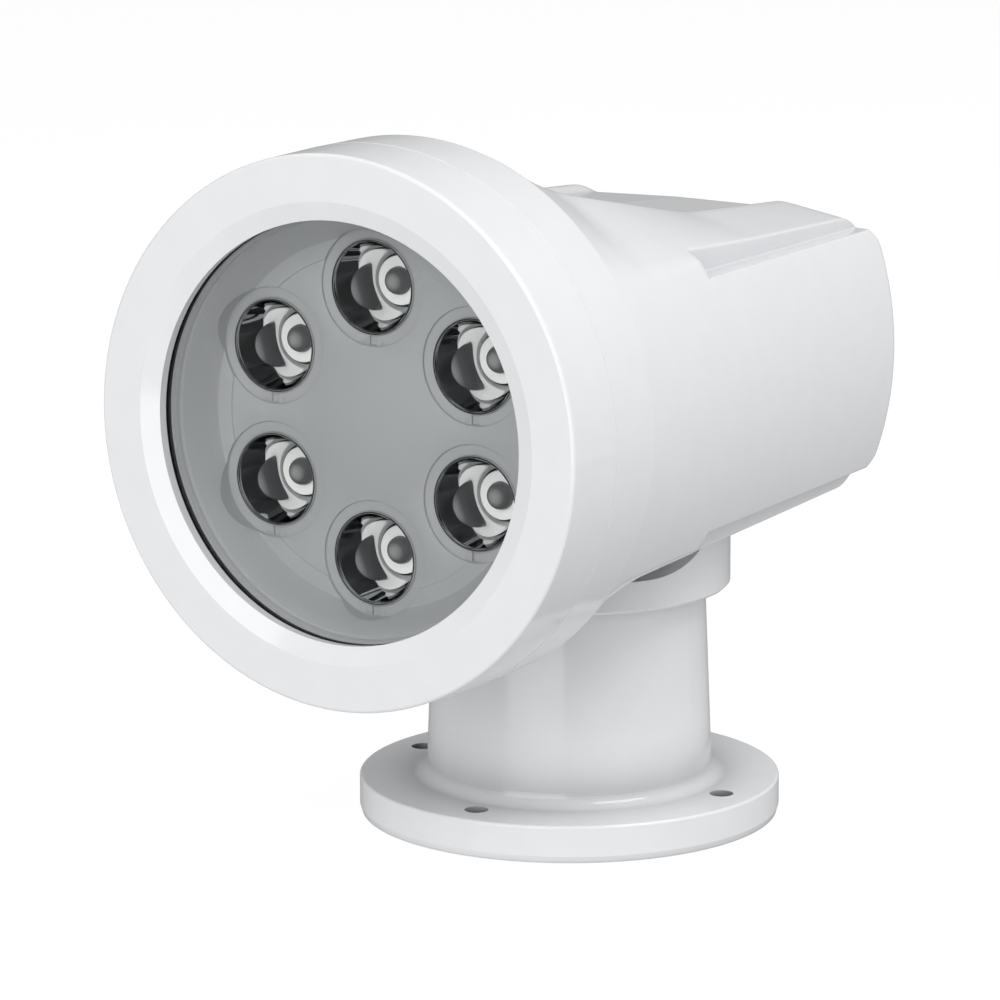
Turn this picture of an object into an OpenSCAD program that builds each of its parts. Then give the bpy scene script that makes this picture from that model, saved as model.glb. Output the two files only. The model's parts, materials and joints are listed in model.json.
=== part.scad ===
// Marine searchlight: a six-lamp head that pans on a deck base and tilts in a yoke.
// Origin: centre of the base's underside. +Z is up and the beam points along -Y.

/* [Base] */
// Diameter of the deck flange
flange_d = 125; // [118:1:150]
// Thickness of the deck flange
flange_t = 11; // [8:0.5:15]
// Bolt circle of the deck holes
bolt_pcd = 104; // [102:0.5:108]
// Diameter of the deck holes
bolt_hole_d = 7; // [5:0.1:8]
// Number of deck holes
bolt_count = 4; // [3:1:6]
// Diameter of the column at its foot
column_foot_d = 84.8; // [83:0.2:88]
// Diameter of the column at its top
column_top_d = 80.4; // [78:0.2:82]
// Height of the column's top above the deck
column_h = 72.5; // [68:0.5:90]
// Wall of the column
column_wall = 4.6; // [4:0.1:5.4]
// Fillet where the column meets the flange
foot_fillet = 4; // [2:0.5:5]
// Thickness of the bearing deck at the column's top
deck_t = 18.5; // [16:0.5:20]
// Thickness of the bottom cover
cover_t = 3; // [2:0.5:4]
// Bore of the cable gland
gland_bore_d = 8; // [5:0.5:10]

/* [Turntable] */
// Diameter of the collar
collar_d = 95.3; // [92:0.1:96]
// How far the collar's skirt hangs over the column
skirt_overlap = 3.4; // [2:0.1:5]
// Height of the collar at its front
collar_front_h = 9.2; // [8:0.1:11]
// Height of the collar at its sides
collar_side_h = 19; // [15:0.5:20]
// Height of the tilt axis above the column's top
axis_rise = 60.6; // [59:0.1:66]

/* [Drives] */
// Diameter of the pan spindle
spindle_d = 24; // [20:0.5:25]
// Cable bore through the spindle
spindle_bore_d = 16; // [10:0.5:17]
// Wall of the plain bushes
bush_wall = 2; // [1.5:0.1:2.5]
// Gear module of both drives
gear_module = 1; // [0.9:0.05:1]
// Teeth of the pan gear
pan_teeth = 30; // [30:1:32]
// Full-circle teeth of the tilt sector
tilt_teeth = 60; // [56:1:62]
// Teeth of each motor pinion
pinion_teeth = 12; // [12:1:14]
// Face width of the gears
gear_w = 6; // [5:0.5:7]
// Diameter of the gear motors
motor_d = 22; // [18:0.5:22]
// Length of the gear motors
motor_l = 28; // [24:1:30]
// Diameter of the tilt axles
axle_d = 12; // [10:0.5:14]
// Outside width of the yoke over its arms
yoke_w = 80; // [76:1:82]
// Thickness of the yoke's arms
arm_t = 6; // [5:0.5:7]

/* [Head] */
// Diameter of the head's rim
rim_d = 154.6; // [150:0.2:160]
// Diameter of the head's sides at the rear edge
rear_d = 137.5; // [134:0.5:142]
// Distance of the bezel's front face from the pan axis
bezel_front = 124.85; // [122:0.05:130]
// Distance of the seam between bezel and housing from the pan axis
seam_front = 103.5; // [102.5:0.1:104.5]
// Width of the housing's round rim
rim_w = 19.5; // [17:0.5:22]
// Distance of the rear edge from the pan axis
rear_back = 73; // [71:0.5:80]
// Rounding of the sides' rear edge
rear_round = 5; // [3:0.5:7]
// Rounding of the rear edge above and below
top_round = 16; // [14:0.5:20]
// Crown of the rear face
rear_crown = 2.5; // [1:0.5:5]
// Half height of the shoulders at the rear
shoulder_rear = 43.3; // [43:0.1:46]
// Further rise of the shoulders at the rim
shoulder_rise = 22; // [20:0.1:24]
// Radius of the sides' arc at the rear edge
rear_arc = 95; // [85:1:105]
// Half height where the sides turn over at the rim
side_turn = 42.1; // [41:0.1:43]
// Half height of the flat sole at the rim
sole_front = 45.1; // [44:0.1:46]
// Half width of the shoulder crests
crest_half = 36; // [34:0.5:40]
// Depth of the channel between the crests
channel_depth = 2; // [1.5:0.1:3]
// Half height of the corner rebates' ledges
rebate_ledge = 36.2; // [35.5:0.1:37]
// Width of the corner rebates' ledges at their front ends
rebate_w = 7.3; // [6:0.1:8]
// Distance of the rebates' front ends from the pan axis
rebate_front = 34.5; // [30:0.5:38]
// Wall of the housing
head_wall = 4; // [3.5:0.1:4.5]
// Width of the slot under the head, each side of the collar
slot_side_gap = 1.5; // [1:0.1:2]
// Distance of the slot's front end from the pan axis
slot_front = 70; // [69:0.5:72]
// Distance of the slot's rear end from the pan axis
slot_back = 66; // [65:0.5:68]

/* [Lamp] */
// Aperture of the bezel
aperture_d = 117; // [114:0.2:118]
// Diameter of the bezel's face where the bevel starts
bevel_d = 127.6; // [124:0.2:130]
// Depth of the bezel's bevel
bevel_depth = 2; // [1:0.1:3]
// Thickness of the lens
lens_t = 2.5; // [2:0.1:3]
// Distance of the lamp plate's flat from the pan axis
plate_front = 103.3; // [103:0.1:105]
// Diameter of the lamp plate's flat
plate_flat_d = 103.2; // [102:0.2:106]
// Thickness of the lamp plate
plate_t = 2.1; // [1.6:0.1:2.6]
// Circle that the lamps stand on
lamp_pcd = 75.8; // [74:0.2:77]
// Number of lamps
lamp_count = 6; // [6:1:6]
// Mouth of a reflector cup
cup_mouth_d = 26.6; // [25:0.2:27]
// Base of a reflector cup
cup_base_d = 14.6; // [13:0.2:16]
// Depth of a reflector cup
cup_depth = 15; // [14:0.1:16]
// Diameter of the counterbore round a cup
ring_d = 32.8; // [31:0.2:34]
// Diameter of an emitter's dome
dome_d = 8; // [6:0.2:9]
// Thickness of the heat sink's plate
sink_t = 5; // [4:0.5:6]
// Length of the heat sink's fins
fin_l = 19; // [14:0.5:20]
// Number of the heat sink's fins
fin_count = 9; // [5:2:11]

/* [Hidden] */
$fn = 96;

// Clearances
run_gap = 0.05;
seat_gap = 0.02;
face_gap = 0.1;
part_gap = 0.5;
far = 200;

// Base: radii and levels
flange_r = flange_d / 2;
foot_r = column_foot_d / 2;
top_r = column_top_d / 2;
edge_round = 0.8;
edge_chamfer = 0.6;
edge_band = 2;
spindle_r = spindle_d / 2;
bush_r = spindle_r + run_gap + bush_wall;
seal_h = 3;
seal_r = bush_r + 3;
bush_h = 6;
bush_flange_t = 1.5;
bush_flange_r = bush_r + 3;
deck_z = column_h - deck_t;
cavity_r = top_r - column_wall;
plate_ledge = 2;
gasket_t = 1;
cover_lift = 0.3;
cover_r = cavity_r + 7;
cover_seat_z = cover_lift + cover_t + gasket_t;
cover_screw_r = 1.5;
cover_screw_count = 4;
cover_screw_pcr = (cavity_r + cover_r) / 2;
cover_screw_l = 9;
screw_head_k = 1.8;
screw_head_h = 1.4;
gland_r = gland_bore_d / 2 + 4;
gland_flange_r = gland_r + 3;
gland_flange_t = 2.5;

// Pan drive, from the deck downwards
pan_gear_top = deck_z - bush_flange_t - face_gap;
pan_gear_z = pan_gear_top - gear_w;
nut_h = 4;
nut_r = spindle_r + 3.5;
spindle_bottom = pan_gear_z - nut_h;
motor_plate_t = 3;
motor_plate_top = spindle_bottom - 1;
motor_plate_z = motor_plate_top - motor_plate_t;
motor_plate_hole_r = nut_r - 1;
plate_screw_count = 3;
plate_screw_pcr = cavity_r - 0.6 * plate_ledge;
plate_screw_grip = 5;
motor_r = motor_d / 2;
motor_boss_r = 5;
motor_shaft_r = 1.5;
motor_bore_l = 8;
pan_centre = gear_module * (pan_teeth + pinion_teeth) / 2;
tilt_centre = gear_module * (tilt_teeth + pinion_teeth) / 2;
washer_t = 0.9;
washer_r = seal_r + 5;

// Turntable levels
collar_r = collar_d / 2;
collar_z = column_h - skirt_overlap;
ceiling_z = column_h + washer_t + face_gap;
floor_z = collar_z + collar_front_h;
collar_top_z = collar_z + collar_side_h;
skirt_r = top_r + 1;
saddle_r = 36;
saddle_back = 25.5;
pocket_gap = 1;
axis_z = column_h + axis_rise;
spindle_flange_r = spindle_r + 9;
spindle_flange_t = 3;
yoke_z = floor_z + spindle_flange_t;
yoke_base_t = 4;
yoke_d = 24;
turn_screw_r = 1.5;
turn_screw_count = 4;
turn_screw_floor = 1.5;
turn_screw_pcr = (spindle_r + spindle_flange_r) / 2;
axle_r = axle_d / 2;
arm_out = yoke_w / 2;
arm_in = arm_out - arm_t;
tilt_bush_r = axle_r + run_gap + bush_wall;
bush_face_t = 0.8;
boss_in = arm_out + bush_face_t + 0.2;
boss_r = axle_r + 7;
sector_out = arm_in - part_gap;
sector_in = sector_out - gear_w;
sector_half = 44;
sector_hub_r = axle_r + 5;
bracket_out = sector_in - 4.5;
bracket_t = 3;
bracket_in = bracket_out - bracket_t;
clip_t = 1.2;
clip_r = axle_r + 3;

// Head: radii and stations, seen from the tilt axis
rim_r = rim_d / 2;
rear_r = rear_d / 2;
seam_y = -seam_front;
rim_y = seam_y + rim_w;
flank_l = 20;
sweep_end = rear_back - 66;
sweep_soft = 6;
sweep_slow = 0.44;
turn_fall = 3;
turn_soft = 4;
sole_fall = 3.9;
rebate_taper = 2.1;
channel_bank = 8;
channel_crown = 0.7;
slot_half = collar_r + slot_side_gap;
axle_end = side_r(0) - head_wall - 7.7;
spigot_l = 8;
seam_chamfer = 0.3;
groove_depth = 1.6;
rear_end = rear_back + rear_round;

// Lamp stack, from the bezel inwards
aperture_r = aperture_d / 2;
bevel_r = bevel_d / 2;
face_y = -bezel_front;
bevel_y = face_y + bevel_depth;
lip_t = 3.4;
gasket_y = bevel_y + lip_t;
gasket_lip = 0.6;
gasket_back = gasket_y + lens_t + 2 * gasket_lip;
gasket_in_r = aperture_r + 0.6;
lens_r = gasket_in_r + 1.8;
stack_r = lens_r + 2.2;
bezel_wall = rim_r - stack_r;
spigot_r = rim_r - 0.58 * bezel_wall;
groove_in_r = rim_r - 0.44 * bezel_wall;
groove_out_r = rim_r - 0.27 * bezel_wall;
plate_y = -plate_front;
plate_flat_r = plate_flat_d / 2;
plate_back = plate_y + plate_t;
plate_rim_t = 1.8;
plate_skirt = 4;
plate_wall = 1.4;
dish_r = aperture_r - 0.2;
dish_step = 3;
disc_r = plate_flat_r - 4.6;
disc_step = 0.4;
lamp_r = lamp_pcd / 2;
cup_r = cup_mouth_d / 2;
cup_base_r = cup_base_d / 2;
cup_wall = 0.7;
cup_flange = 2.2;
cup_flange_t = 1;
ring_r = ring_d / 2;
ring_depth = 0.7;
key_w = 2.4;
key_depth = 1.4;
board_y = plate_y + cup_depth;
board_t = 1.6;
board_r = lamp_r + cup_base_r + 3.3;
sink_y = board_y + board_t;
sink_back = sink_y + sink_t;
sink_screw_r = 1.5;
sink_screw_count = 4;
sink_screw_pcr = board_r + 3.5;
sink_r = sink_screw_pcr + 3;
sink_seat_t = 5;
sink_seat_r = sink_screw_pcr - 3;
chamber_r = sink_r + 6;
fin_t = 2;
fin_half = 30;
dome_r = dome_d / 2;
led_base_h = 1.2;
led_base_r = cup_base_r - 0.4;
roof_wall = head_wall + 0.8;
cavity_top = shoulder_rear - channel_depth - roof_wall;
cavity_side = rebate_ledge - head_wall;
cavity_back = rear_end - top_round;
driver_t = 1.6;
driver_w = 70;
driver_h = 44;
driver_post_l = 6;
driver_post_r = 3.5;
driver_inset = 5;
driver_y = cavity_back - driver_post_l - driver_t;
driver_screw_r = 1.25;

white = "#f2f3f4";
grey = "#8e9091";
black = "#1c1c1e";
steel = "#b9bcc0";
alloy = "#a9adb1";
bronze = "#b08a4a";
board_green = "#1f5b3a";
chrome = "#d8dbdf";

// Points on an arc about a centre
function arc(c, r, from, to, steps = 8) =
    [for (i = [0:steps]) let (a = from + (to - from) * i / steps) c + r * [cos(a), sin(a)]];

// A size that changes evenly from the rim's rear edge to the rear edge of the sides
function from_rim(front, back, y) = front + (back - front) * (y - rim_y) / (rear_back - rim_y);

// Reach of the head's sides at a station
function side_r(y) = from_rim(rim_r, rear_r, y);

// Distance of the sides from the middle: an arc that gets narrower and flatter towards the rear
function side_x(y, z) =
    let (at = min(y, rear_back), arc_r = from_rim(rim_r, rear_arc, at))
    side_r(at) - arc_r + sqrt(arc_r * arc_r - z * z);

// How far a rounding that ends at the rear has drawn the section in at a station
function drawn_in(y, round) =
    let (over = max(0, y - rear_end + round)) round - sqrt(max(0, round * round - over * over));

// Half height where the sides turn over
function turn_z(y) = from_rim(side_turn, side_turn - turn_fall, min(y, rear_back)) - drawn_in(y, top_round);

// Half height of the sole
function sole_z(y) = from_rim(sole_front, sole_front - sole_fall, min(y, rear_back)) - drawn_in(y, top_round);

// Distance of the rebates' walls from the middle
function rebate_x(y) =
    let (
        front = side_x(-rebate_front, rebate_ledge) - rebate_w,
        back = side_x(rear_back, rebate_ledge) - rebate_w + rebate_taper
    )
    front + (back - front) * (y + rebate_front) / (rear_back + rebate_front);

// Rise of the shoulders ahead of a station: a slow run at the rear that bends into a steeper one
function sweep(y) =
    let (ahead = sweep_end - y) sweep_slow * (rear_back - y) + (ahead + norm([ahead, sweep_soft])) / 2;

// Height of the shoulder crests at a station
function crest_z(y) =
    shoulder_rear + shoulder_rise * sweep(min(y, rear_back)) / sweep(rim_y) - drawn_in(y, top_round);

// Point on a three-point curve
function bend(a, b, c, t) = (1 - t) * (1 - t) * a + 2 * t * (1 - t) * b + t * t * c;

// Points up one side, as far as the soft turn
function side_points(y) =
    [for (i = [0:6]) let (z = (turn_z(y) - turn_soft) * i / 7) [side_x(y, z), z]];

// The upper quarter of the head's section, from the side round to the middle of the top
function upper_quarter(y) =
    let (
        z = turn_z(y),
        edge = [side_x(y, z), z],
        start = [side_x(y, z - turn_soft), z - turn_soft],
        crest = [crest_half, crest_z(y)],
        end = edge + (crest - edge) * 0.2,
        last = crest + (edge - crest) * 0.12,
        floor = crest[1] - channel_depth,
        foot = crest_half - channel_bank
    )
    concat(
        side_points(y),
        [for (i = [0:4]) bend(start, edge, end, i / 4)],
        [for (i = [1:3]) end + (last - end) * i / 4],
        [for (i = [0:2]) bend(last, crest, crest - [channel_bank / 3, channel_depth / 4], i / 2)],
        [for (i = [0:5]) [foot * (1 - i / 5), floor + channel_crown * i / 5]]
    );

// The lower quarter, from the side round to the middle of the sole
function lower_quarter(y) =
    let (
        z = turn_z(y),
        edge = [side_x(y, z), z],
        start = [side_x(y, z - turn_soft), z - turn_soft],
        corner = [rebate_x(y), sole_z(y)],
        end = edge + (corner - edge) * 0.5
    )
    concat(
        side_points(y),
        [for (i = [0:4]) bend(start, edge, end, i / 4)],
        [for (i = [0:4]) [corner[0] * (1 - i / 4), corner[1]]]
    );

// The whole section, counter-clockwise seen from the front
function section(y) =
    let (up = upper_quarter(y), low = lower_quarter(y), n = len(up), m = len(low))
    concat(
        up,
        [for (i = [n - 2:-1:0]) [-up[i][0], up[i][1]]],
        [for (i = [1:m - 1]) [-low[i][0], -low[i][1]]],
        [for (i = [m - 2:-1:1]) [low[i][0], -low[i][1]]]
    );

// Stations of the loft: the foot of the rim's flank, the body, the rounded rear edges
function stations() =
    let (foot_y = rim_y + flank_l, turn_y = rear_end - top_round, body_n = 9)
    concat(
        [for (i = [0:body_n]) foot_y + (turn_y - foot_y) * i / body_n],
        [for (a = [15, 30, 45, 60, 75, 90]) turn_y + top_round * sin(a)]
    );

// One ring of the body, drawn in by the rounded rear edges
function body_ring(y) =
    let (across = 1 - drawn_in(y, rear_round) / rear_r)
    [for (p = section(y)) [p[0] * across, y, p[1]]];

// One ring of the round rim, with its points in line with those of the flank's foot
function rim_ring(y, r) =
    [for (p = section(rim_y + flank_l)) let (q = p * r / norm(p)) [q[0], y, q[1]]];

// The last ring shrunk towards the crown of the rear face
function crown_ring(share) =
    [for (p = body_ring(rear_end)) [p[0] * share, rear_end + rear_crown * (1 - share * share), p[2] * share]];

// Turns a profile of [radius, y] about the head's axis
module turned(profile) {
    rotate([-90, 0, 0]) rotate_extrude() polygon(profile);
}

// A round bar along Y between two stations, at x and z
module bar_y(r, from, to, x = 0, z = 0) {
    translate([x, from, z]) rotate([-90, 0, 0]) cylinder(r = r, h = to - from);
}

// A round bar along X between two places, at y and z
module bar_x(r, from, to, y = 0, z = 0) {
    translate([from, y, z]) rotate([0, 90, 0]) cylinder(r = r, h = to - from);
}

// A round bar along Z between two levels, at x and y
module bar_z(r, from, to, x = 0, y = 0) {
    translate([x, y, from]) cylinder(r = r, h = to - from);
}

// A ring about Z
module ring_z(r_out, r_in, from, to) {
    difference() {
        bar_z(r_out, from, to);
        bar_z(r_in, from - 1, to + 1);
    }
}

// A ring about the head's axis
module ring_y(r_out, r_in, from, to) {
    difference() {
        bar_y(r_out, from, to);
        bar_y(r_in, from - 1, to + 1);
    }
}

module at_axis() {
    translate([0, 0, axis_z]) children();
}

// Places copies evenly on a circle about Z
module around_z(count, r, turn = 0) {
    for (i = [0:count - 1]) rotate(turn + i * 360 / count) translate([r, 0, 0]) children();
}

// Places copies evenly on a circle about the head's axis, the first one at the top
module around_y(count, r, turn = 90) {
    for (i = [0:count - 1]) let (a = turn + i * 360 / count)
        translate([r * cos(a), 0, r * sin(a)]) children();
}

// Mirrors what is drawn at +X to -X as well
module both_sides() {
    children();
    mirror([1, 0, 0]) children();
}

// Involute angle in degrees at a radius, for a base circle
function involute(base, r) = r <= base ? 0 : sqrt(pow(r / base, 2) - 1) * 180 / PI - acos(base / r);

// Outline of a spur gear with a tooth on the +X axis, turned by an angle
function gear_outline(teeth, turn = 0) =
    let (
        pitch = gear_module * teeth / 2,
        base = pitch * cos(20),
        root = pitch - 1.25 * gear_module,
        tip = pitch + 0.8 * gear_module,
        play = 0.06 * gear_module / pitch * 180 / PI,
        half = 90 / teeth - play + involute(base, pitch),
        flank = [root, max(root, base), (max(root, base) + pitch) / 2, pitch, (pitch + tip) / 2, tip],
        limit = [for (r = flank) half - involute(base, r) - (r == root ? 1.5 * play : 0)]
    )
    [for (k = [0:teeth - 1], side = [-1, 1], i = [0:5])
        let (j = side < 0 ? i : 5 - i, a = turn + k * 360 / teeth + side * limit[j])
        flank[j] * [cos(a), sin(a)]];

// A screw along +Z with its head's outer face at the origin
module screw(r, l) {
    cylinder(r = r * screw_head_k, h = screw_head_h);
    cylinder(r = r, h = l);
}

// The space for a screw along +Z, with clearance
module screw_space(r, l) {
    cylinder(r = r * screw_head_k + seat_gap, h = screw_head_h);
    cylinder(r = r + seat_gap, h = l);
}

// A gear motor along +Z with its mounting face at the origin and its boss above it
module gear_motor(boss_l) {
    gearbox_l = 12;
    difference() {
        union() {
            translate([0, 0, -gearbox_l]) cylinder(r = motor_r, h = gearbox_l);
            translate([0, 0, -motor_l]) cylinder(r = motor_r - 1, h = motor_l);
            cylinder(r = motor_boss_r, h = boss_l);
        }
        translate([0, 0, boss_l - motor_bore_l]) cylinder(r = motor_shaft_r + run_gap, h = motor_bore_l + 1);
    }
}

// A pinion on its shaft along +Z: the teeth start at the origin and the shaft reaches down into the motor
module shaft_pinion(shaft_l, turn) {
    linear_extrude(gear_w) polygon(gear_outline(pinion_teeth, turn));
    translate([0, 0, -shaft_l]) cylinder(r = motor_shaft_r, h = shaft_l + gear_w);
}

module base_casting() {
    profile = concat(
        [[cover_r + seat_gap, 0], [flange_r - edge_chamfer, 0], [flange_r, edge_band]],
        arc([flange_r - edge_round, flange_t - edge_round], edge_round, 0, 90),
        arc([foot_r + foot_fillet, flange_t + foot_fillet], foot_fillet, 270, 180),
        [[top_r, column_h - edge_round], [top_r - edge_round, column_h]],
        [[seal_r + seat_gap, column_h], [seal_r + seat_gap, column_h - seal_h]],
        [[bush_r + seat_gap, column_h - seal_h], [bush_r + seat_gap, deck_z]],
        [[cavity_r - plate_ledge, deck_z], [cavity_r - plate_ledge, motor_plate_top]],
        [[cavity_r, motor_plate_top], [cavity_r, cover_seat_z], [cover_r + seat_gap, cover_seat_z]]
    );
    color(white) difference() {
        rotate_extrude() polygon(profile);
        around_z(bolt_count, bolt_pcd / 2) bar_z(bolt_hole_d / 2, -1, flange_t + 1);
        around_z(cover_screw_count, cover_screw_pcr, 45)
            bar_z(cover_screw_r + seat_gap, 0, cover_lift + cover_screw_l + part_gap);
        around_z(plate_screw_count, plate_screw_pcr, 30)
            bar_z(cover_screw_r + seat_gap, motor_plate_z, motor_plate_top + plate_screw_grip);
    }
}

module bottom_cover() {
    color(grey) difference() {
        bar_z(cover_r, cover_lift, cover_lift + cover_t);
        bar_z(gland_r + seat_gap, 0, far);
        around_z(cover_screw_count, cover_screw_pcr, 45)
            translate([0, 0, cover_lift]) screw_space(cover_screw_r, far);
    }
}

module cover_gasket() {
    color(black) difference() {
        ring_z(cover_r, cavity_r, cover_lift + cover_t, cover_seat_z);
        around_z(cover_screw_count, cover_screw_pcr, 45) bar_z(cover_screw_r + seat_gap, 0, far);
    }
}

module cover_screws() {
    color(steel) around_z(cover_screw_count, cover_screw_pcr, 45)
        translate([0, 0, cover_lift]) screw(cover_screw_r, cover_screw_l);
}

module cable_gland() {
    inner_z = cover_lift + cover_t;
    color(black) difference() {
        union() {
            bar_z(gland_r, cover_lift, inner_z + gland_flange_t);
            bar_z(gland_flange_r, inner_z, inner_z + gland_flange_t);
        }
        bar_z(gland_bore_d / 2, -1, far);
    }
}

module pan_bush_upper() {
    top = column_h - seal_h;
    color(bronze) ring_z(bush_r, spindle_r + run_gap, top - bush_h, top);
}

module pan_bush_lower() {
    color(bronze) difference() {
        union() {
            bar_z(bush_r, deck_z, deck_z + bush_h);
            bar_z(bush_flange_r, deck_z - bush_flange_t, deck_z);
        }
        bar_z(spindle_r + run_gap, 0, far);
    }
}

module pan_seal() {
    color(black) ring_z(seal_r, spindle_r + run_gap, column_h - seal_h, column_h);
}

module thrust_washer() {
    color(bronze) ring_z(washer_r, spindle_r + run_gap, column_h, column_h + washer_t);
}

module motor_plate() {
    color(alloy) difference() {
        bar_z(cavity_r - seat_gap, motor_plate_z, motor_plate_top);
        bar_z(motor_plate_hole_r, 0, far);
        bar_z(motor_boss_r + seat_gap, 0, far, 0, pan_centre);
        around_z(plate_screw_count, plate_screw_pcr, 30) bar_z(cover_screw_r + seat_gap, 0, far);
    }
}

module motor_plate_screws() {
    color(steel) around_z(plate_screw_count, plate_screw_pcr, 30)
        bar_z(cover_screw_r, motor_plate_z, motor_plate_top + plate_screw_grip);
}

module pan_motor() {
    color(steel) translate([0, pan_centre, motor_plate_z]) gear_motor(motor_plate_t);
}

module pan_pinion() {
    shaft_l = pan_gear_z - motor_plate_top + motor_bore_l - 1;
    color(bronze) translate([0, pan_centre, pan_gear_z]) shaft_pinion(shaft_l, 90 + 180 / pinion_teeth);
}

module collar() {
    profile = [
        [spindle_r + seat_gap, ceiling_z], [skirt_r, ceiling_z], [skirt_r, collar_z],
        [collar_r - edge_round, collar_z], [collar_r, collar_z + edge_round],
        [collar_r, collar_top_z - edge_round], [collar_r - edge_round, collar_top_z],
        [spindle_r + seat_gap, collar_top_z]
    ];
    pocket_w = 2 * (arm_out + pocket_gap);
    pocket_d = yoke_d + 2 * pocket_gap;
    color(white) difference() {
        rotate_extrude() polygon(profile);
        bar_x(saddle_r, -far, far, -saddle_back, floor_z + saddle_r);
        translate([-far, -saddle_back - far, floor_z]) cube([2 * far, far, far]);
        translate([-pocket_w / 2, -pocket_d / 2, floor_z]) cube([pocket_w, pocket_d, far]);
        bar_z(spindle_flange_r + pocket_gap, floor_z, far);
        around_z(turn_screw_count, turn_screw_pcr, 45)
            bar_z(turn_screw_r + seat_gap, ceiling_z + turn_screw_floor - part_gap, far);
    }
}

module pan_spindle() {
    color(steel) difference() {
        union() {
            bar_z(spindle_r, spindle_bottom, yoke_z);
            bar_z(spindle_flange_r, floor_z, yoke_z);
        }
        bar_z(spindle_bore_d / 2, 0, far);
        around_z(turn_screw_count, turn_screw_pcr, 45) bar_z(turn_screw_r + seat_gap, floor_z - 1, far);
    }
}

module pan_gear() {
    color(bronze) difference() {
        translate([0, 0, pan_gear_z]) linear_extrude(gear_w) polygon(gear_outline(pan_teeth, 90));
        bar_z(spindle_r + seat_gap, 0, far);
    }
}

module spindle_nut() {
    color(steel) difference() {
        translate([0, 0, spindle_bottom]) cylinder(r = nut_r, h = nut_h, $fn = 6);
        bar_z(spindle_r + seat_gap, 0, far);
    }
}

module yoke() {
    base_half = arm_out;
    color(white) difference() {
        union() {
            translate([-base_half, -yoke_d / 2, yoke_z]) cube([2 * base_half, yoke_d, yoke_base_t]);
            both_sides() {
                translate([arm_in, -yoke_d / 2, yoke_z]) cube([arm_t, yoke_d, axis_z - yoke_z]);
                bar_x(yoke_d / 2, arm_in, arm_out, 0, axis_z);
            }
            translate([bracket_in, -yoke_d / 2, yoke_z])
                cube([bracket_t, yoke_d, axis_z - tilt_centre + motor_r - yoke_z]);
        }
        bar_x(tilt_bush_r + seat_gap, -far, far, 0, axis_z);
        bar_x(motor_boss_r + seat_gap, bracket_in - 1, bracket_out + 1, 0, axis_z - tilt_centre);
        bar_z(spindle_bore_d / 2, 0, yoke_z + yoke_base_t + 1);
        around_z(turn_screw_count, turn_screw_pcr, 45)
            bar_z(turn_screw_r + seat_gap, 0, yoke_z + yoke_base_t + 1);
    }
}

module turntable_screws() {
    top = yoke_z + yoke_base_t;
    color(steel) around_z(turn_screw_count, turn_screw_pcr, 45) {
        bar_z(turn_screw_r * screw_head_k, top, top + screw_head_h);
        bar_z(turn_screw_r, ceiling_z + turn_screw_floor, top);
    }
}

// A flanged bush in the yoke's arm at +X
module tilt_bush() {
    color(bronze) difference() {
        union() {
            bar_x(tilt_bush_r, arm_in, arm_out, 0, axis_z);
            bar_x(tilt_bush_r + 3, arm_out, arm_out + bush_face_t, 0, axis_z);
        }
        bar_x(axle_r + run_gap, 0, far, 0, axis_z);
    }
}

module tilt_bush_right() {
    tilt_bush();
}

module tilt_bush_left() {
    mirror([1, 0, 0]) tilt_bush();
}

module tilt_motor() {
    color(steel) translate([bracket_in, 0, axis_z - tilt_centre]) rotate([0, 90, 0]) gear_motor(bracket_t);
}

module tilt_pinion() {
    shaft_l = sector_in - bracket_out + motor_bore_l - 1;
    color(bronze) translate([sector_in, 0, axis_z - tilt_centre]) rotate([0, 90, 0])
        shaft_pinion(shaft_l, 180 + 180 / pinion_teeth);
}

// The head's outer form: one loft from the seam to the rear face
module head_loft() {
    rings = concat(
        [rim_ring(seam_y, rim_r - seam_chamfer)],
        [for (y = [seam_y + seam_chamfer, rim_y]) rim_ring(y, rim_r)],
        [for (y = stations()) body_ring(y)],
        [crown_ring(0.7), crown_ring(0.4)]
    );
    count = len(rings[0]);
    last = len(rings) - 1;
    tip = [0, rear_end + rear_crown, 0];
    front = [0, seam_y, 0];
    points = concat([for (r = rings) each r], [front, tip]);
    front_i = count * (last + 1);
    tip_i = front_i + 1;
    skin = [for (j = [0:last - 1], i = [0:count - 1]) each
        let (a = j * count + i, b = j * count + (i + 1) % count)
        [[a, b, a + count], [b, b + count, a + count]]];
    ends = [for (i = [0:count - 1]) each
        let (n = (i + 1) % count) [[front_i, n, i], [tip_i, last * count + i, last * count + n]]];
    polyhedron(points, concat(skin, ends), convexity = 6);
}

// The four corner rebates that run back along the head
module corner_rebates() {
    front_x = rebate_x(-rebate_front);
    run_in = atan((front_x - rebate_x(rear_back)) / (rear_back + rebate_front));
    both_sides() for (side = [0, 1]) mirror([0, 0, side])
        translate([front_x, -rebate_front, rebate_ledge]) rotate(run_in) cube([far, far, far]);
}

// The hollow behind the heat sink's seat
module head_cavity() {
    front = sink_back + sink_seat_t;
    narrow = slot_half - 1.2;
    front_r = side_r(front) - head_wall;
    back_r = side_r(cavity_back) - head_wall;
    intersection() {
        translate([0, front, 0]) rotate([-90, 0, 0])
            cylinder(r1 = front_r, r2 = back_r, h = cavity_back - front);
        union() {
            translate([-narrow, front - 1, -cavity_top]) cube([2 * narrow, far, 2 * cavity_top]);
            translate([-far / 2, front - 1, -cavity_side]) cube([far, far, 2 * cavity_side]);
        }
    }
}

// The posts that the driver board stands on
module driver_posts(r, from, to) {
    for (x = [-1, 1], z = [-1, 1])
        bar_y(r, from, to, x * (driver_w / 2 - driver_inset), z * (driver_h / 2 - driver_inset));
}

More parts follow.
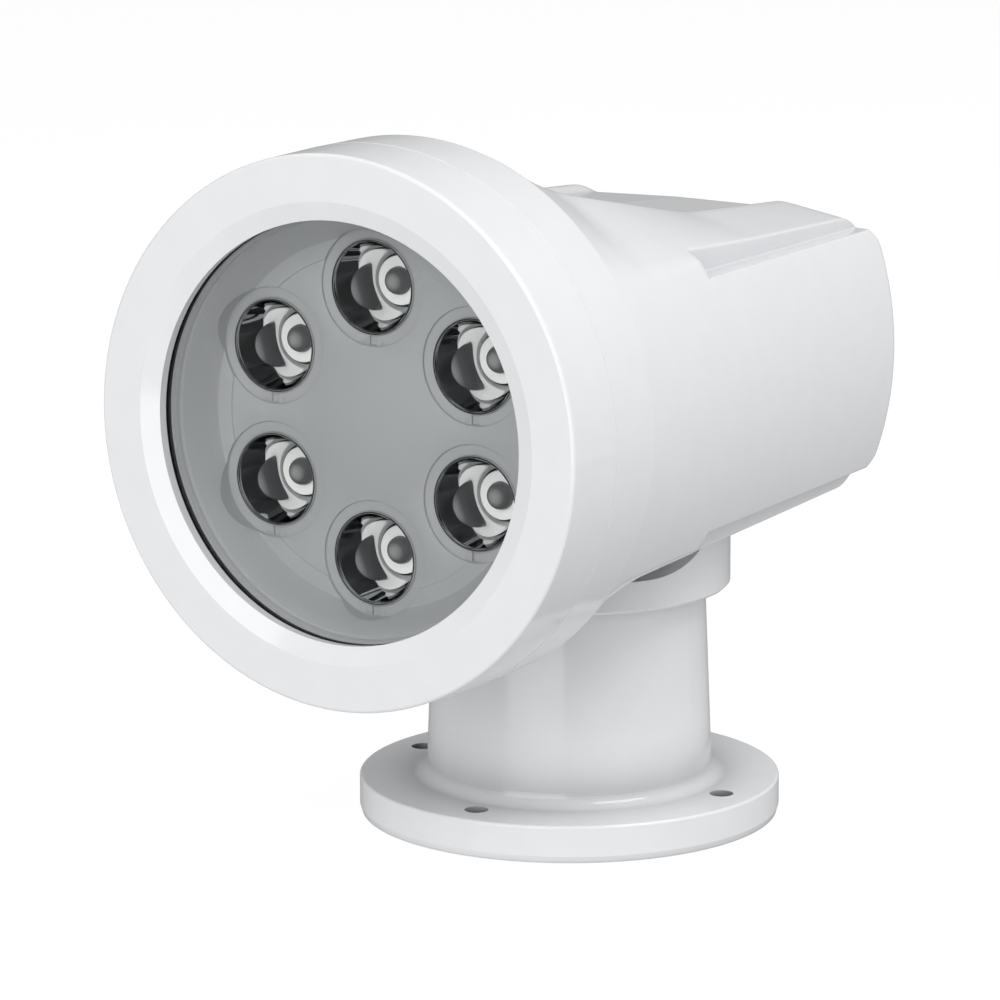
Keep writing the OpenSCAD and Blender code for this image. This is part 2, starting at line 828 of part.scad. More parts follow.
module housing() {
    color(white) at_axis() {
        difference() {
            head_loft();
            corner_rebates();
            bar_y(spigot_r + seat_gap, seam_y - 1, seam_y + spigot_l + part_gap);
            bar_y(chamber_r, seam_y, sink_back);
            bar_y(sink_seat_r, seam_y, sink_back + sink_seat_t + 1);
            head_cavity();
            translate([-slot_half, -slot_front, -far])
                cube([2 * slot_half, slot_front + slot_back, far - cavity_side]);
            ring_y(groove_out_r, groove_in_r, seam_y - 1, seam_y + groove_depth);
            around_y(sink_screw_count, sink_screw_pcr, 45)
                bar_y(sink_screw_r + seat_gap, seam_y, sink_back + sink_seat_t - part_gap);
        }
        both_sides() difference() {
            bar_x(boss_r, boss_in, side_r(0) - head_wall + 1.5);
            bar_x(axle_r + seat_gap, 0, axle_end);
        }
        difference() {
            driver_posts(driver_post_r, driver_y + driver_t, cavity_back + 1);
            driver_posts(driver_screw_r + seat_gap, 0, cavity_back - part_gap);
        }
    }
}

module bezel() {
    lean = 0.5;
    flare = 0.4;
    face_round = 1;
    profile = concat(
        [[aperture_r + flare, gasket_y], [aperture_r, bevel_y], [bevel_r, face_y]],
        arc([rim_r - lean - face_round, face_y + face_round], face_round, -90, 0),
        [[rim_r, seam_y - seam_chamfer], [rim_r - seam_chamfer, seam_y], [spigot_r, seam_y]],
        [[spigot_r, seam_y + spigot_l], [stack_r + seat_gap, seam_y + spigot_l]],
        [[stack_r + seat_gap, gasket_y]]
    );
    color(white) at_axis() turned(profile);
}

module rim_seal() {
    color(black) at_axis()
        ring_y(groove_out_r - face_gap, groove_in_r + face_gap, seam_y, seam_y + groove_depth);
}

module lens() {
    front = gasket_y + gasket_lip;
    color("lightblue", 0.35) at_axis() bar_y(lens_r, front, front + lens_t);
}

module lens_gasket() {
    color(black) at_axis() difference() {
        ring_y(stack_r, gasket_in_r, gasket_y, gasket_back);
        bar_y(lens_r, gasket_y + gasket_lip, gasket_back - gasket_lip);
    }
}

module led_plate() {
    foot_y = plate_y - disc_step;
    step_y = gasket_back + dish_step;
    step_w = 0.8;
    draft = 0.2;
    rim_back = gasket_back + plate_rim_t;
    profile = [
        [0, plate_y], [disc_r, plate_y], [disc_r, foot_y], [plate_flat_r, foot_y],
        [dish_r - step_w, step_y], [dish_r, step_y], [dish_r + draft, gasket_back], [stack_r, gasket_back],
        [stack_r, rim_back], [dish_r + draft + plate_wall, rim_back], [dish_r + plate_wall, step_y + 1],
        [plate_flat_r + plate_skirt, plate_back], [0, plate_back]
    ];
    color(grey) at_axis() difference() {
        turned(profile);
        around_y(lamp_count, lamp_r) {
            bar_y(ring_r, gasket_back, plate_y + ring_depth);
            bar_y(cup_r + seat_gap, gasket_back, 0);
            translate([-key_w / 2, gasket_back, -ring_r + 0.3])
                cube([key_w, plate_y + key_depth - gasket_back, ring_r]);
        }
    }
}

// A chromed cup whose wall follows a parabola from its base to its mouth
module reflector(i) {
    steps = 10;
    inner_mouth = cup_r - cup_wall;
    curve = [for (k = [0:steps]) let (t = k / steps)
        [sqrt(pow(cup_base_r, 2) + (pow(inner_mouth, 2) - pow(cup_base_r, 2)) * t), board_y - cup_depth * t]];
    outer = [for (k = [steps:-1:0]) [curve[k][0] + cup_wall, curve[k][1]]];
    color(chrome) at_axis() lamp_place(i) {
        turned(concat(curve, outer));
        ring_y(cup_r + cup_flange, cup_r - 2 * cup_wall, plate_back, plate_back + cup_flange_t);
    }
}

// Moves to the place of one lamp, the first one at the top
module lamp_place(i) {
    a = 90 + (i - 1) * 360 / lamp_count;
    translate([lamp_r * cos(a), 0, lamp_r * sin(a)]) children();
}

// An emitter: a round package with a clear dome
module led(i) {
    color("khaki") at_axis() lamp_place(i) {
        bar_y(led_base_r, board_y - led_base_h, board_y);
        intersection() {
            translate([0, board_y - led_base_h, 0]) sphere(r = dome_r);
            bar_y(dome_r + 1, board_y - led_base_h - dome_r - 1, board_y - led_base_h);
        }
    }
}

module led_board() {
    color(board_green) at_axis() bar_y(board_r, board_y, sink_y);
}

module heat_sink() {
    pitch = 2 * fin_half / (fin_count - 1);
    color(alloy) at_axis() difference() {
        union() {
            bar_y(sink_r, sink_y, sink_back);
            for (i = [0:fin_count - 1])
                translate([-fin_half + i * pitch - fin_t / 2, sink_back, -fin_half])
                    cube([fin_t, fin_l, 2 * fin_half]);
        }
        around_y(sink_screw_count, sink_screw_pcr, 45)
            bar_y(sink_screw_r + seat_gap, sink_y - 1, sink_back + 1);
    }
}

module heat_sink_screws() {
    color(steel) at_axis() around_y(sink_screw_count, sink_screw_pcr, 45) {
        bar_y(sink_screw_r * screw_head_k, sink_y - screw_head_h, sink_y);
        bar_y(sink_screw_r, sink_y, sink_back + sink_seat_t - 1);
    }
}

module driver_board() {
    part_w = 16;
    part_h = 12;
    part_l = 8;
    can_r = 5;
    can_l = 10;
    color(board_green) at_axis() difference() {
        union() {
            translate([-driver_w / 2, driver_y, -driver_h / 2]) cube([driver_w, driver_t, driver_h]);
            translate([-driver_w / 4 - part_w / 2, driver_y - part_l, -part_h / 2])
                cube([part_w, part_l, part_h]);
            for (i = [0, 1])
                bar_y(can_r, driver_y - can_l, driver_y, driver_w / 6 + i * (2 * can_r + 1), can_r - 1);
        }
        driver_posts(driver_screw_r + seat_gap, 0, far);
    }
}

module driver_screws() {
    color(steel) at_axis() {
        driver_posts(driver_screw_r * screw_head_k, driver_y - screw_head_h, driver_y);
        driver_posts(driver_screw_r, driver_y, cavity_back - 1);
    }
}

// A stub axle at +X from a place inside the yoke out to its seat in the housing
module axle(from) {
    color(steel) bar_x(axle_r, from, axle_end, 0, axis_z);
}

module axle_right() {
    axle(sector_in);
}

module axle_left() {
    mirror([1, 0, 0]) axle(arm_in - 3 - clip_t);
}

module axle_clip() {
    color(steel) mirror([1, 0, 0]) difference() {
        bar_x(clip_r, arm_in - part_gap - clip_t, arm_in - part_gap, 0, axis_z);
        bar_x(axle_r + seat_gap, 0, far, 0, axis_z);
    }
}

module tilt_sector() {
    reach = gear_module * tilt_teeth;
    color(bronze) translate([sector_in, 0, axis_z]) rotate([0, 90, 0]) difference() {
        union() {
            intersection() {
                linear_extrude(gear_w) polygon(gear_outline(tilt_teeth));
                linear_extrude(gear_w)
                    polygon([[0, 0], reach * [cos(sector_half), -sin(sector_half)],
                        reach * [cos(sector_half), sin(sector_half)]]);
            }
            cylinder(r = sector_hub_r, h = gear_w);
        }
        translate([0, 0, -1]) cylinder(r = axle_r + seat_gap, h = gear_w + 2);
    }
}

base_casting();
bottom_cover();
cover_gasket();
cover_screws();
cable_gland();
pan_bush_upper();
pan_bush_lower();
pan_seal();
thrust_washer();
motor_plate();
motor_plate_screws();
pan_motor();
pan_pinion();
collar();
pan_spindle();
pan_gear();
spindle_nut();
yoke();
turntable_screws();
tilt_bush_right();
tilt_bush_left();
tilt_motor();
tilt_pinion();
housing();
bezel();
rim_seal();
lens();
lens_gasket();
led_plate();
reflector(1);  // reflector_1
reflector(2);  // reflector_2
reflector(3);  // reflector_3
reflector(4);  // reflector_4
reflector(5);  // reflector_5
reflector(6);  // reflector_6
led(1);  // led_1
led(2);  // led_2
led(3);  // led_3
led(4);  // led_4
led(5);  // led_5
led(6);  // led_6
led_board();
heat_sink();
heat_sink_screws();
driver_board();
driver_screws();
axle_right();
axle_left();
axle_clip();
tilt_sector();
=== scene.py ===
# %% [markdown]
# # A marine searchlight in gloss white
# The frame that this script loads holds every piece of the searchlight at its real size and place.
# This lesson gives those pieces their finish. It also models again the few pieces whose looks depend on
# soft edges and clean reflections: the moulded head, the chromed cups and the emitters.

# %% Load the frame and keep its box
import json
import math

import bmesh
import bpy
import numpy as np
from mathutils import Matrix, Vector


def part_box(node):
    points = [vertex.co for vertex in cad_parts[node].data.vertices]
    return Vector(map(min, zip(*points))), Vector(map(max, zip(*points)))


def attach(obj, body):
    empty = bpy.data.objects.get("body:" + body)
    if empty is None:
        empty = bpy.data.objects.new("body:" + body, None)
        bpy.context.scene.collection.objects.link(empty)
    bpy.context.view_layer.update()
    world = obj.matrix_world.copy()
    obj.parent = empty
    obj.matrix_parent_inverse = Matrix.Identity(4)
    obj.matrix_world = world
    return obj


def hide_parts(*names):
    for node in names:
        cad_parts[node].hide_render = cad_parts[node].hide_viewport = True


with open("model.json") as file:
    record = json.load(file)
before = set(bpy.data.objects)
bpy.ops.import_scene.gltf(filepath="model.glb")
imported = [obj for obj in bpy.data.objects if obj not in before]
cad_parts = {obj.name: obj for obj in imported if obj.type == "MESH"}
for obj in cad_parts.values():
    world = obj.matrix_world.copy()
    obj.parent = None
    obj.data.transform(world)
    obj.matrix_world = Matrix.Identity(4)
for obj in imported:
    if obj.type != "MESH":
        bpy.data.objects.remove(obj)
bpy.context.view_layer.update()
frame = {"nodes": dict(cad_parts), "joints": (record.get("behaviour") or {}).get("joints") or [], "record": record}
nodes = frame["nodes"]
print("nodes in the frame:", len(nodes))

# %% [markdown]
# ## Sizes
# A dressed piece has to sit exactly on its frame, so the sizes are read from the frame's boxes and not
# typed a second time. Lengths are in millimetres, as on a drawing, and `MM` turns them into metres. Only the
# camera, the stage and its lights are set out in metres.
# The head's own axis runs along Y through the tilt axle, so the head's pieces are drawn about that line.

# %% Read the main sizes
MM = 0.001


def box_mm(node):
    """Lowest and highest corner of a frame node in millimetres."""
    low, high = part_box(node)
    return np.array(low) / MM, np.array(high) / MM


tilt_joint = next(joint for joint in frame["joints"] if joint["name"] == "tilt")
axis_z = tilt_joint["pos_m"][2] / MM
bezel_low, bezel_high = box_mm("bezel")
housing_low = box_mm("housing")[0]
rim_r = (bezel_high[0] - bezel_low[0]) / 2
seam_y = housing_low[1]
print(f"rim radius {rim_r:.2f}, seam at {seam_y:.2f}, tilt axis at {axis_z:.2f} mm")

# %% [markdown]
# ## Camera
# The photograph was taken from the front right, a little above the lamp, with a long lens. The place was
# worked out from the ellipses of the flange, the bezel and the collar. The angles are turned into the
# camera's own axes, because that keeps the slight roll as one plain number.

# %% Set the camera
VIEW_AZIMUTH = math.radians(31.951)
VIEW_ELEVATION = math.radians(11.798)
VIEW_ROLL = math.radians(-0.201)
VIEW_PLACE = Vector((0.67857, -1.12654, 0.36786))
LENS_MM = 163.97
SENSOR_MM = 36


def set_camera():
    """Adds the camera at the photograph's place, angle and focal length."""
    right = Vector((math.cos(VIEW_AZIMUTH), math.sin(VIEW_AZIMUTH), 0))
    back = Vector((
        math.sin(VIEW_AZIMUTH) * math.cos(VIEW_ELEVATION),
        -math.cos(VIEW_AZIMUTH) * math.cos(VIEW_ELEVATION),
        math.sin(VIEW_ELEVATION),
    ))
    up = back.cross(right)
    rolled_right = math.cos(VIEW_ROLL) * right + math.sin(VIEW_ROLL) * up
    rolled_up = math.cos(VIEW_ROLL) * up - math.sin(VIEW_ROLL) * right
    data = bpy.data.cameras.new("photo_camera")
    data.lens = LENS_MM
    data.sensor_width = SENSOR_MM
    camera = bpy.data.objects.new("photo_camera", data)
    bpy.context.scene.collection.objects.link(camera)
    turn = Matrix((rolled_right, rolled_up, back)).transposed()
    camera.matrix_world = Matrix.Translation(VIEW_PLACE) @ turn.to_4x4()
    bpy.context.scene.camera = camera
    return camera


print("camera at", [round(x, 3) for x in set_camera().location])

# %% [markdown]
# ## Two helpers for materials
# Colours are written as sRGB hex values, the way a paint chart gives them, and Blender works in linear
# light, so one function converts them. A second function adds a shader node, sets its options and fills
# or links its inputs. With it a material reads as a short list of nodes.

# %% Colour and node helpers
def colour(hex_value):
    """Linear RGBA of an sRGB hex value such as '#f2f3f4'."""
    channels = [int(hex_value[i:i + 2], 16) / 255 for i in (1, 3, 5)]
    linear = [c / 12.92 if c <= 0.04045 else ((c + 0.055) / 1.055) ** 2.4 for c in channels]
    return (*linear, 1.0)


def add(tree, kind, inputs=None, **settings):
    """Adds a node of a kind with its settings, and fills its inputs with values or links."""
    node = tree.nodes.new(kind)
    for name, value in settings.items():
        setattr(node, name, value)
    for socket, value in (inputs or {}).items():
        if isinstance(value, bpy.types.NodeSocket):
            tree.links.new(value, node.inputs[socket])
        else:
            node.inputs[socket].default_value = value
    return node


def start(name, **sockets):
    """A new material, its node tree, its shader with the given sockets set, and object coordinates."""
    material = bpy.data.materials.new(name)
    material.use_nodes = True
    tree = material.node_tree
    shader = tree.nodes["Principled BSDF"]
    for socket, value in sockets.items():
        shader.inputs[socket.replace("_", " ")].default_value = value
    place = add(tree, "ShaderNodeTexCoord").outputs["Object"]
    return material, tree, shader, place


def per(size_mm):
    """Scale of a pattern whose features are this many millimetres wide."""
    return 1 / (size_mm * MM)


print("mid grey of the chart in linear light:", round(colour("#808080")[0], 3))

# %% [markdown]
# ## Stage
# The ground is a plain white sweep. Seen by the camera it is simply white with a faint shadow. For the light
# that falls on the searchlight it is a pale glow from below, as a lit table gives, but not under the flange,
# whose bolt holes stay dark. `Light Path` tells these rays apart, so the background needs no extra light.
# Gloss looks past the floor into the studio, because the column mirrors what stands just below the horizon,
# and a studio is dark between its lamps. The chromed cups behind the window see it darkest, which is what
# makes them look like chrome.

# %% Floor and world
FLOOR_SIZE = 6.0
FLOOR_LEVEL = -0.0002
FLOOR_GLOW = 0.93
FLOOR_SHADOW = 0.12
TABLE_LIGHT = 0.62
BASE_R = 0.0625
FILL_LEVEL = 0.4
STUDIO_GREY = 0.3
STUDIO_DARK = 0.03


def make_floor():
    """A large white plane just under the flange."""
    mesh = bpy.data.meshes.new("floor")
    half = FLOOR_SIZE / 2
    corners = [(x, y, FLOOR_LEVEL) for x, y in ((-half, -half), (half, -half), (half, half), (-half, half))]
    mesh.from_pydata(corners, [], [(0, 1, 2, 3)])
    floor = bpy.data.objects.new("floor", mesh)
    bpy.context.scene.collection.objects.link(floor)
    material = bpy.data.materials.new("white_sweep_paper")
    material.use_nodes = True
    tree = material.node_tree
    tree.nodes.remove(tree.nodes["Principled BSDF"])
    spot = add(tree, "ShaderNodeNewGeometry").outputs["Position"]
    reach = add(tree, "ShaderNodeVectorMath", {0: spot}, operation="LENGTH").outputs["Value"]
    beside = add(tree, "ShaderNodeMath", {0: reach, 1: BASE_R}, operation="GREATER_THAN").outputs[0]
    level = add(tree, "ShaderNodeMath", {0: beside, 1: TABLE_LIGHT}, operation="MULTIPLY").outputs[0]
    table = add(tree, "ShaderNodeEmission", {"Color": (1, 1, 1, 1), "Strength": level})
    shade = add(tree, "ShaderNodeBsdfDiffuse", {"Color": (FLOOR_SHADOW, FLOOR_SHADOW, FLOOR_SHADOW, 1)})
    glow = add(tree, "ShaderNodeEmission", {"Color": (1, 1, 1, 1), "Strength": FLOOR_GLOW})
    seen = add(tree, "ShaderNodeAddShader", {0: shade.outputs[0], 1: glow.outputs[0]})
    path = add(tree, "ShaderNodeLightPath").outputs
    choice = {0: path["Is Camera Ray"], 1: table.outputs[0], 2: seen.outputs[0]}
    mix = add(tree, "ShaderNodeMixShader", choice)
    tree.links.new(mix.outputs[0], tree.nodes["Material Output"].inputs["Surface"])
    mesh.materials.append(material)
    floor.visible_glossy = False
    floor.visible_transmission = False


def make_world():
    """White for the eye, grey in gloss, dark through the window, and a soft fill for the object's light."""
    world = bpy.data.worlds.new("studio")
    world.use_nodes = True
    bpy.context.scene.world = world
    tree = world.node_tree
    path = add(tree, "ShaderNodeLightPath").outputs
    level = FILL_LEVEL
    seen_as = {"Is Glossy Ray": STUDIO_GREY, "Is Transmission Ray": STUDIO_DARK, "Is Camera Ray": 1.0}
    for ray, brightness in seen_as.items():
        choice = {"Factor": path[ray], "A": level, "B": brightness}
        level = add(tree, "ShaderNodeMix", choice).outputs["Result"]
    light = add(tree, "ShaderNodeBackground", {"Color": (1, 1, 1, 1), "Strength": level})
    tree.links.new(light.outputs[0], tree.nodes["World Output"].inputs["Surface"])


make_floor()
make_world()
bpy.context.scene.view_settings.view_transform = "Standard"
print("floor and world made")

# %% [markdown]
# ## Light
# The stripes on the column tell where the studio's boxes stood: a mirror turns a ray by twice the angle of
# its surface, so each stripe's edge is the edge of a box. A wide box fills the front, from 23 degrees left
# of the beam to 29 degrees right of it. A second box stands high on the right, grades the head's side from
# bright to grey and draws the thin bright line round the bezel's edge. Three softer lights from the right
# only lift the shade, so they are kept out of gloss. On the left stands a black card, which keeps glare off
# the window. It shows in gloss and through glass only. No lamp shows through the window, so the chromed cups
# mirror the dark studio and their own emitters.

# %% Soft boxes and the black card
STUDIO_CENTRE = Vector((0, -0.03, 0.12))


def studio_place(azimuth, elevation, distance):
    """A place in the studio: degrees to the right of the beam, degrees up, and metres from the lamp."""
    side, up = math.radians(azimuth), math.radians(elevation)
    level = distance * math.cos(up)
    offset = Vector((level * math.sin(side), -level * math.cos(side), distance * math.sin(up)))
    return STUDIO_CENTRE + offset


def face_lamp(thing, place):
    """Puts a light or a card in place and turns it towards the lamp."""
    bpy.context.scene.collection.objects.link(thing)
    thing.location = place
    thing.rotation_euler = (place - STUDIO_CENTRE).to_track_quat("Z", "Y").to_euler()


def soft_box(name, place, width, height, level, mirrored=True):
    """A rectangular light whose face has the given brightness, and which gloss can show or not."""
    data = bpy.data.lights.new(name, "AREA")
    data.shape = "RECTANGLE"
    data.size = width
    data.size_y = height
    data.energy = level * width * height * math.pi
    lamp = bpy.data.objects.new(name, data)
    face_lamp(lamp, place)
    lamp.visible_glossy = mirrored
    lamp.visible_transmission = False


def black_card(name, place, width, height):
    """A flat card that only gloss and glass can see."""
    mesh = bpy.data.meshes.new(name)
    x, y = width / 2, height / 2
    mesh.from_pydata([(-x, -y, 0), (x, -y, 0), (x, y, 0), (-x, y, 0)], [], [(0, 1, 2, 3)])
    mesh.materials.append(start("black_felt", Base_Color=colour("#080808"), Roughness=1.0)[0])
    card = bpy.data.objects.new(name, mesh)
    face_lamp(card, place)
    card.visible_camera = False
    card.visible_diffuse = False
    card.visible_shadow = False


soft_box("front_box", studio_place(3, 12, 1.6), width=1.56, height=1.5, level=2.55)
soft_box("high_box", studio_place(90, 60, 1.7), width=0.9, height=0.9, level=4.3)
soft_box("key_fill", studio_place(55, 35, 1.7), width=0.8, height=0.8, level=1.0, mirrored=False)
soft_box("side_fill", studio_place(100, 15, 1.7), width=0.9, height=0.9, level=1.1, mirrored=False)
soft_box("rear_fill", studio_place(145, 35, 1.7), width=0.9, height=0.9, level=2.0, mirrored=False)
black_card("front_card", studio_place(-48, -4, 0.9), width=0.9, height=1.5)

# %% [markdown]
# ## Mesh helpers
# The pieces below are drawn as rings of points that are joined into skins. `skin` joins rings and `solid`
# turns points and faces into an object in the frame. `turned` draws a round piece with flat ends, and
# `lathe` draws a hollow one from a closed profile. Both turn about the head's axis or a line beside it.
# Points are given as in the head's drawing: millimetres from the tilt axis.

# %% Mesh helpers
def skin(rings, ends=True):
    """Points and faces of a closed skin through rings that all have the same number of points."""
    count = len(rings[0])
    points = np.concatenate(rings)
    faces = []
    for j in range(len(rings) - 1):
        for i in range(count):
            low, high = j * count, (j + 1) * count
            n = (i + 1) % count
            faces.append((low + i, low + n, high + n, high + i))
    if ends:
        last = (len(rings) - 1) * count
        faces.append(tuple(range(count - 1, -1, -1)))
        faces.append(tuple(range(last, last + count)))
    return points, faces


def solid(name, points, faces):
    """An object from points in millimetres about the tilt axis, with all faces turned outwards."""
    mesh = bpy.data.meshes.new(name)
    placed = (np.asarray(points) + (0, 0, axis_z)) * MM
    mesh.from_pydata(placed.tolist(), [], faces)
    work = bmesh.new()
    work.from_mesh(mesh)
    bmesh.ops.recalc_face_normals(work, faces=work.faces)
    work.to_mesh(mesh)
    work.free()
    piece = bpy.data.objects.new(name, mesh)
    bpy.context.scene.collection.objects.link(piece)
    return piece


def turned(profile, centre=(0, 0), steps=128):
    """Skin of a round solid along Y through a centre, from its outline of (radius, y) points."""
    turn = np.linspace(0, 2 * math.pi, steps, endpoint=False)
    rings = []
    for r, y in profile:
        x, z = centre[0] + r * np.cos(turn), centre[1] + r * np.sin(turn)
        rings.append(np.stack((x, np.full(steps, y), z), axis=1))
    return skin(rings)


def lathe(profile, centre=(0, 0), steps=96):
    """Rings of a closed profile of (radius, y) points, turned about a line along Y through a centre."""
    rings = []
    for i in range(steps):
        a = 2 * math.pi * i / steps
        rings.append(np.array([
            (centre[0] + r * math.cos(a), y, centre[1] + r * math.sin(a)) for r, y in profile
        ]))
    points, faces = skin(rings + [rings[0]], ends=False)
    count = len(profile)
    whole = steps * count
    return points[:whole], [tuple(k % whole for k in face) for face in faces]


def smooth(piece, angle):
    """Smooth shading that breaks at edges sharper than an angle in degrees."""
    piece.data.shade_smooth()
    piece.data.set_sharp_from_angle(angle=math.radians(angle))


print("mesh helpers ready")

# %% [markdown]
# ## The moulded head
# The head is one moulding: a round rim, a conical side, shoulders that sweep up to the rim with a shallow
# channel between them, a flat sole below and a long rebate along each corner. Seen from the head's axis
# every section is a single outline, so it can be written as a radius for each angle. The smaller of two
# radii makes an outside corner and the larger one an inside corner. A soft minimum rounds the corner, as
# the mould does. The rings follow the corners' own angles, so that the corner lines stay clean.

# %% Sizes of the moulded head
RIM_BACK = -84.0
FLANK_FOOT = -64.0
FLANK_BLEND = 4.0
FLANK_FADE = 1.3
REAR_BACK = 73.0
REAR_END = 78.0
REAR_CROWN = 2.5
SIDE_ROUND = 5.0
TOP_ROUND = 16.0
REAR_REACH = 68.75
REAR_ARC = 95.0
TURN_FRONT = 42.1
TURN_REAR = 39.1
SHOULDER_REAR = 43.3
SHOULDER_RISE = 22.0
SWEEP_END = 7.0
SWEEP_SOFT = 6.0
SWEEP_SLOW = 0.44
CREST_HALF = 36.0
CHANNEL_DEPTH = 2.0
CHANNEL_BANK = 8.0
CHANNEL_CROWN = 0.7
SOLE_FRONT = 45.1
SOLE_REAR = 41.2
LEDGE = 36.2
LEDGE_FRONT = 7.3
LEDGE_REAR = 5.2
REBATE_FRONT = -34.5
EDGE_SOFT = 0.7
TURN_SOFT = 1.4
SEAM_CHAMFER = 0.3
FLANK_ROOM = 4.0
FLANK_INSIDE = 0.3
FLANK_OUTSIDE = 0.1
TINY = 1e-3
HAIR = 1e-4
FACING_LEAST = 1e-6
CHANNEL_ROUNDS = 6


def from_rim(front, back, y):
    """A size that changes evenly from the rim's back edge to the rear edge of the sides."""
    return front + (back - front) * (y - RIM_BACK) / (REAR_BACK - RIM_BACK)


def side_x(y, z):
    """Distance of the side from the middle: an arc that gets narrower and flatter towards the back."""
    arc = from_rim(rim_r, REAR_ARC, y)
    return from_rim(rim_r, REAR_REACH, y) - arc + math.sqrt(arc ** 2 - z ** 2)


def sweep(y):
    """Rise of the shoulders ahead of a station: a slow run at the back that bends into a steeper one."""
    ahead = SWEEP_END - y
    return SWEEP_SLOW * (REAR_BACK - y) + (ahead + math.hypot(ahead, SWEEP_SOFT)) / 2


def drawn_in(y, rounding):
    """How far a rounding that ends at the back has drawn a section in."""
    over = max(0.0, y - REAR_END + rounding)
    return rounding - math.sqrt(max(0.0, rounding ** 2 - over ** 2))


def crest_height(y):
    """Height of the shoulder crests."""
    at = min(y, REAR_BACK)
    return SHOULDER_REAR + SHOULDER_RISE * sweep(at) / sweep(RIM_BACK) - drawn_in(y, TOP_ROUND)


def sole_height(y):
    """Depth of the flat sole below the axis."""
    return from_rim(SOLE_FRONT, SOLE_REAR, min(y, REAR_BACK)) - drawn_in(y, TOP_ROUND)


def wall_x(y):
    """Distance of the rebates' walls from the middle of the head."""
    front = side_x(REBATE_FRONT, LEDGE) - LEDGE_FRONT
    back = side_x(REAR_BACK, LEDGE) - LEDGE_REAR
    return front + (back - front) * (y - REBATE_FRONT) / (REAR_BACK - REBATE_FRONT)


crests = [round(crest_height(y), 1) for y in (RIM_BACK, 0, REAR_END - TOP_ROUND)]
print("shoulder crests at the rim, over the axle and near the back:", crests)

# %% [markdown]
# A plain minimum of two radii leaves a knife edge, which no mould can make and which catches no light. The
# soft minimum blends the two radii over a small width instead. A bevel modifier could round the edges too,
# but it needs clean edge loops, and here some corners fade out along the body.

# %% Soft corners and straight lines about the axis
def soft_min(a, b, width):
    """The smaller of two radii, rounded over where they are closer than the width."""
    mix = np.clip(0.5 + 0.5 * (b - a) / width, 0, 1)
    return b + (a - b) * mix - width * mix * (1 - mix)


def soft_max(a, b, width):
    """The larger of two radii, rounded over where they are closer than the width."""
    return -soft_min(-a, -b, width)


def soft_step(t):
    """Rises from 0 to 1 with level ends."""
    t = np.clip(t, 0, 1)
    return t * t * (3 - 2 * t)


def straight(angles, start, end):
    """Radius of the straight line through two points, for each angle."""
    normal = np.array((end[1] - start[1], start[0] - end[0]))
    facing = normal[0] * np.cos(angles) + normal[1] * np.sin(angles)
    return (normal @ np.array(start)) / np.maximum(facing, FACING_LEAST)


print("two radii of 10 mm meet at", round(float(soft_min(10.0, 10.0, EDGE_SOFT)), 3))

# %% [markdown]
# Above the axis the section runs from the side's arc over a slanting shoulder into the shallow channel. Below
# it the side turns over a short chamfer into the flat sole. The channel's depth depends on how far out a
# point lies, and that depends on the radius that is looked for, so a few rounds settle it.

# %% The upper and lower half of a section
def side_radius(angles, y):
    """Radius of the side's arc, whose centre lies beyond the middle of the head."""
    at = min(y, REAR_BACK)
    arc = from_rim(rim_r, REAR_ARC, at)
    beyond = from_rim(rim_r, REAR_REACH, at) - arc
    return beyond * np.cos(angles) + np.sqrt(arc ** 2 - (beyond * np.sin(angles)) ** 2)


def turn_edge(y):
    """Point where the side turns over into a shoulder or into the sole."""
    at = min(y, REAR_BACK)
    height = from_rim(TURN_FRONT, TURN_REAR, at) - drawn_in(y, TOP_ROUND)
    return side_x(at, height), height


def upper_radius(angles, y):
    """Radius of the side, the shoulder and the channel above it."""
    top = crest_height(y)
    rise = np.maximum(np.sin(angles), TINY)
    channel = top / rise
    for _ in range(CHANNEL_ROUNDS):
        x = channel * np.cos(angles)
        crown = CHANNEL_CROWN * np.clip(1 - x / CREST_HALF, 0, 1)
        channel = (top + crown - CHANNEL_DEPTH * soft_step((CREST_HALF - x) / CHANNEL_BANK)) / rise
    facet = straight(angles, turn_edge(y), (CREST_HALF, top))
    shoulder = soft_min(side_radius(angles, y), facet, TURN_SOFT)
    return soft_min(shoulder, channel, EDGE_SOFT)


def lower_radius(angles, y):
    """Radius of the side, the short chamfer below it and the flat sole."""
    sole = sole_height(y)
    chamfer = straight(angles, turn_edge(y), (wall_x(y), sole))
    shoulder = soft_min(side_radius(angles, y), chamfer, EDGE_SOFT)
    return soft_min(shoulder, sole / np.maximum(np.sin(angles), TINY), EDGE_SOFT)


straight_up = np.array([math.pi / 2])
print("height and depth over the axle:", upper_radius(straight_up, 0.0), lower_radius(straight_up, 0.0))

# %% [markdown]
# The round rim stands out over the body and falls to it along a flank. The rear edge is rounded, and a long
# rebate runs along each corner from a step to the back. Each of these changes the radius that it is given,
# so they can be applied one after the other.

# %% The rim, the rounded rear and the rebates
def across(y):
    """Width of a section where the sides' rear edge is rounded, as a share of the full width."""
    return 1 - drawn_in(y, SIDE_ROUND) / REAR_REACH


def body_radius(half, angles, y):
    """Radius of the body at a station, drawn in where the sides' rear edge is rounded."""
    x, z = np.cos(angles) / across(y), np.sin(angles)
    return half(np.arctan2(z, x), y) / np.hypot(x, z)


def with_rim(radius, foot, y):
    """Fills the section out to the flank that falls from the round rim to its foot."""
    if y > FLANK_FOOT + FLANK_BLEND:
        return radius
    way = max(0.0, y - RIM_BACK) / (FLANK_FOOT - RIM_BACK)
    flank = rim_r + (foot - rim_r) * way
    room = np.clip(rim_r - foot - FLANK_FADE, TINY, FLANK_ROOM)
    filled = soft_max(radius, flank, FLANK_INSIDE * room)
    return soft_min(rim_r, filled, FLANK_OUTSIDE * room * min(1.0, way) + HAIR)


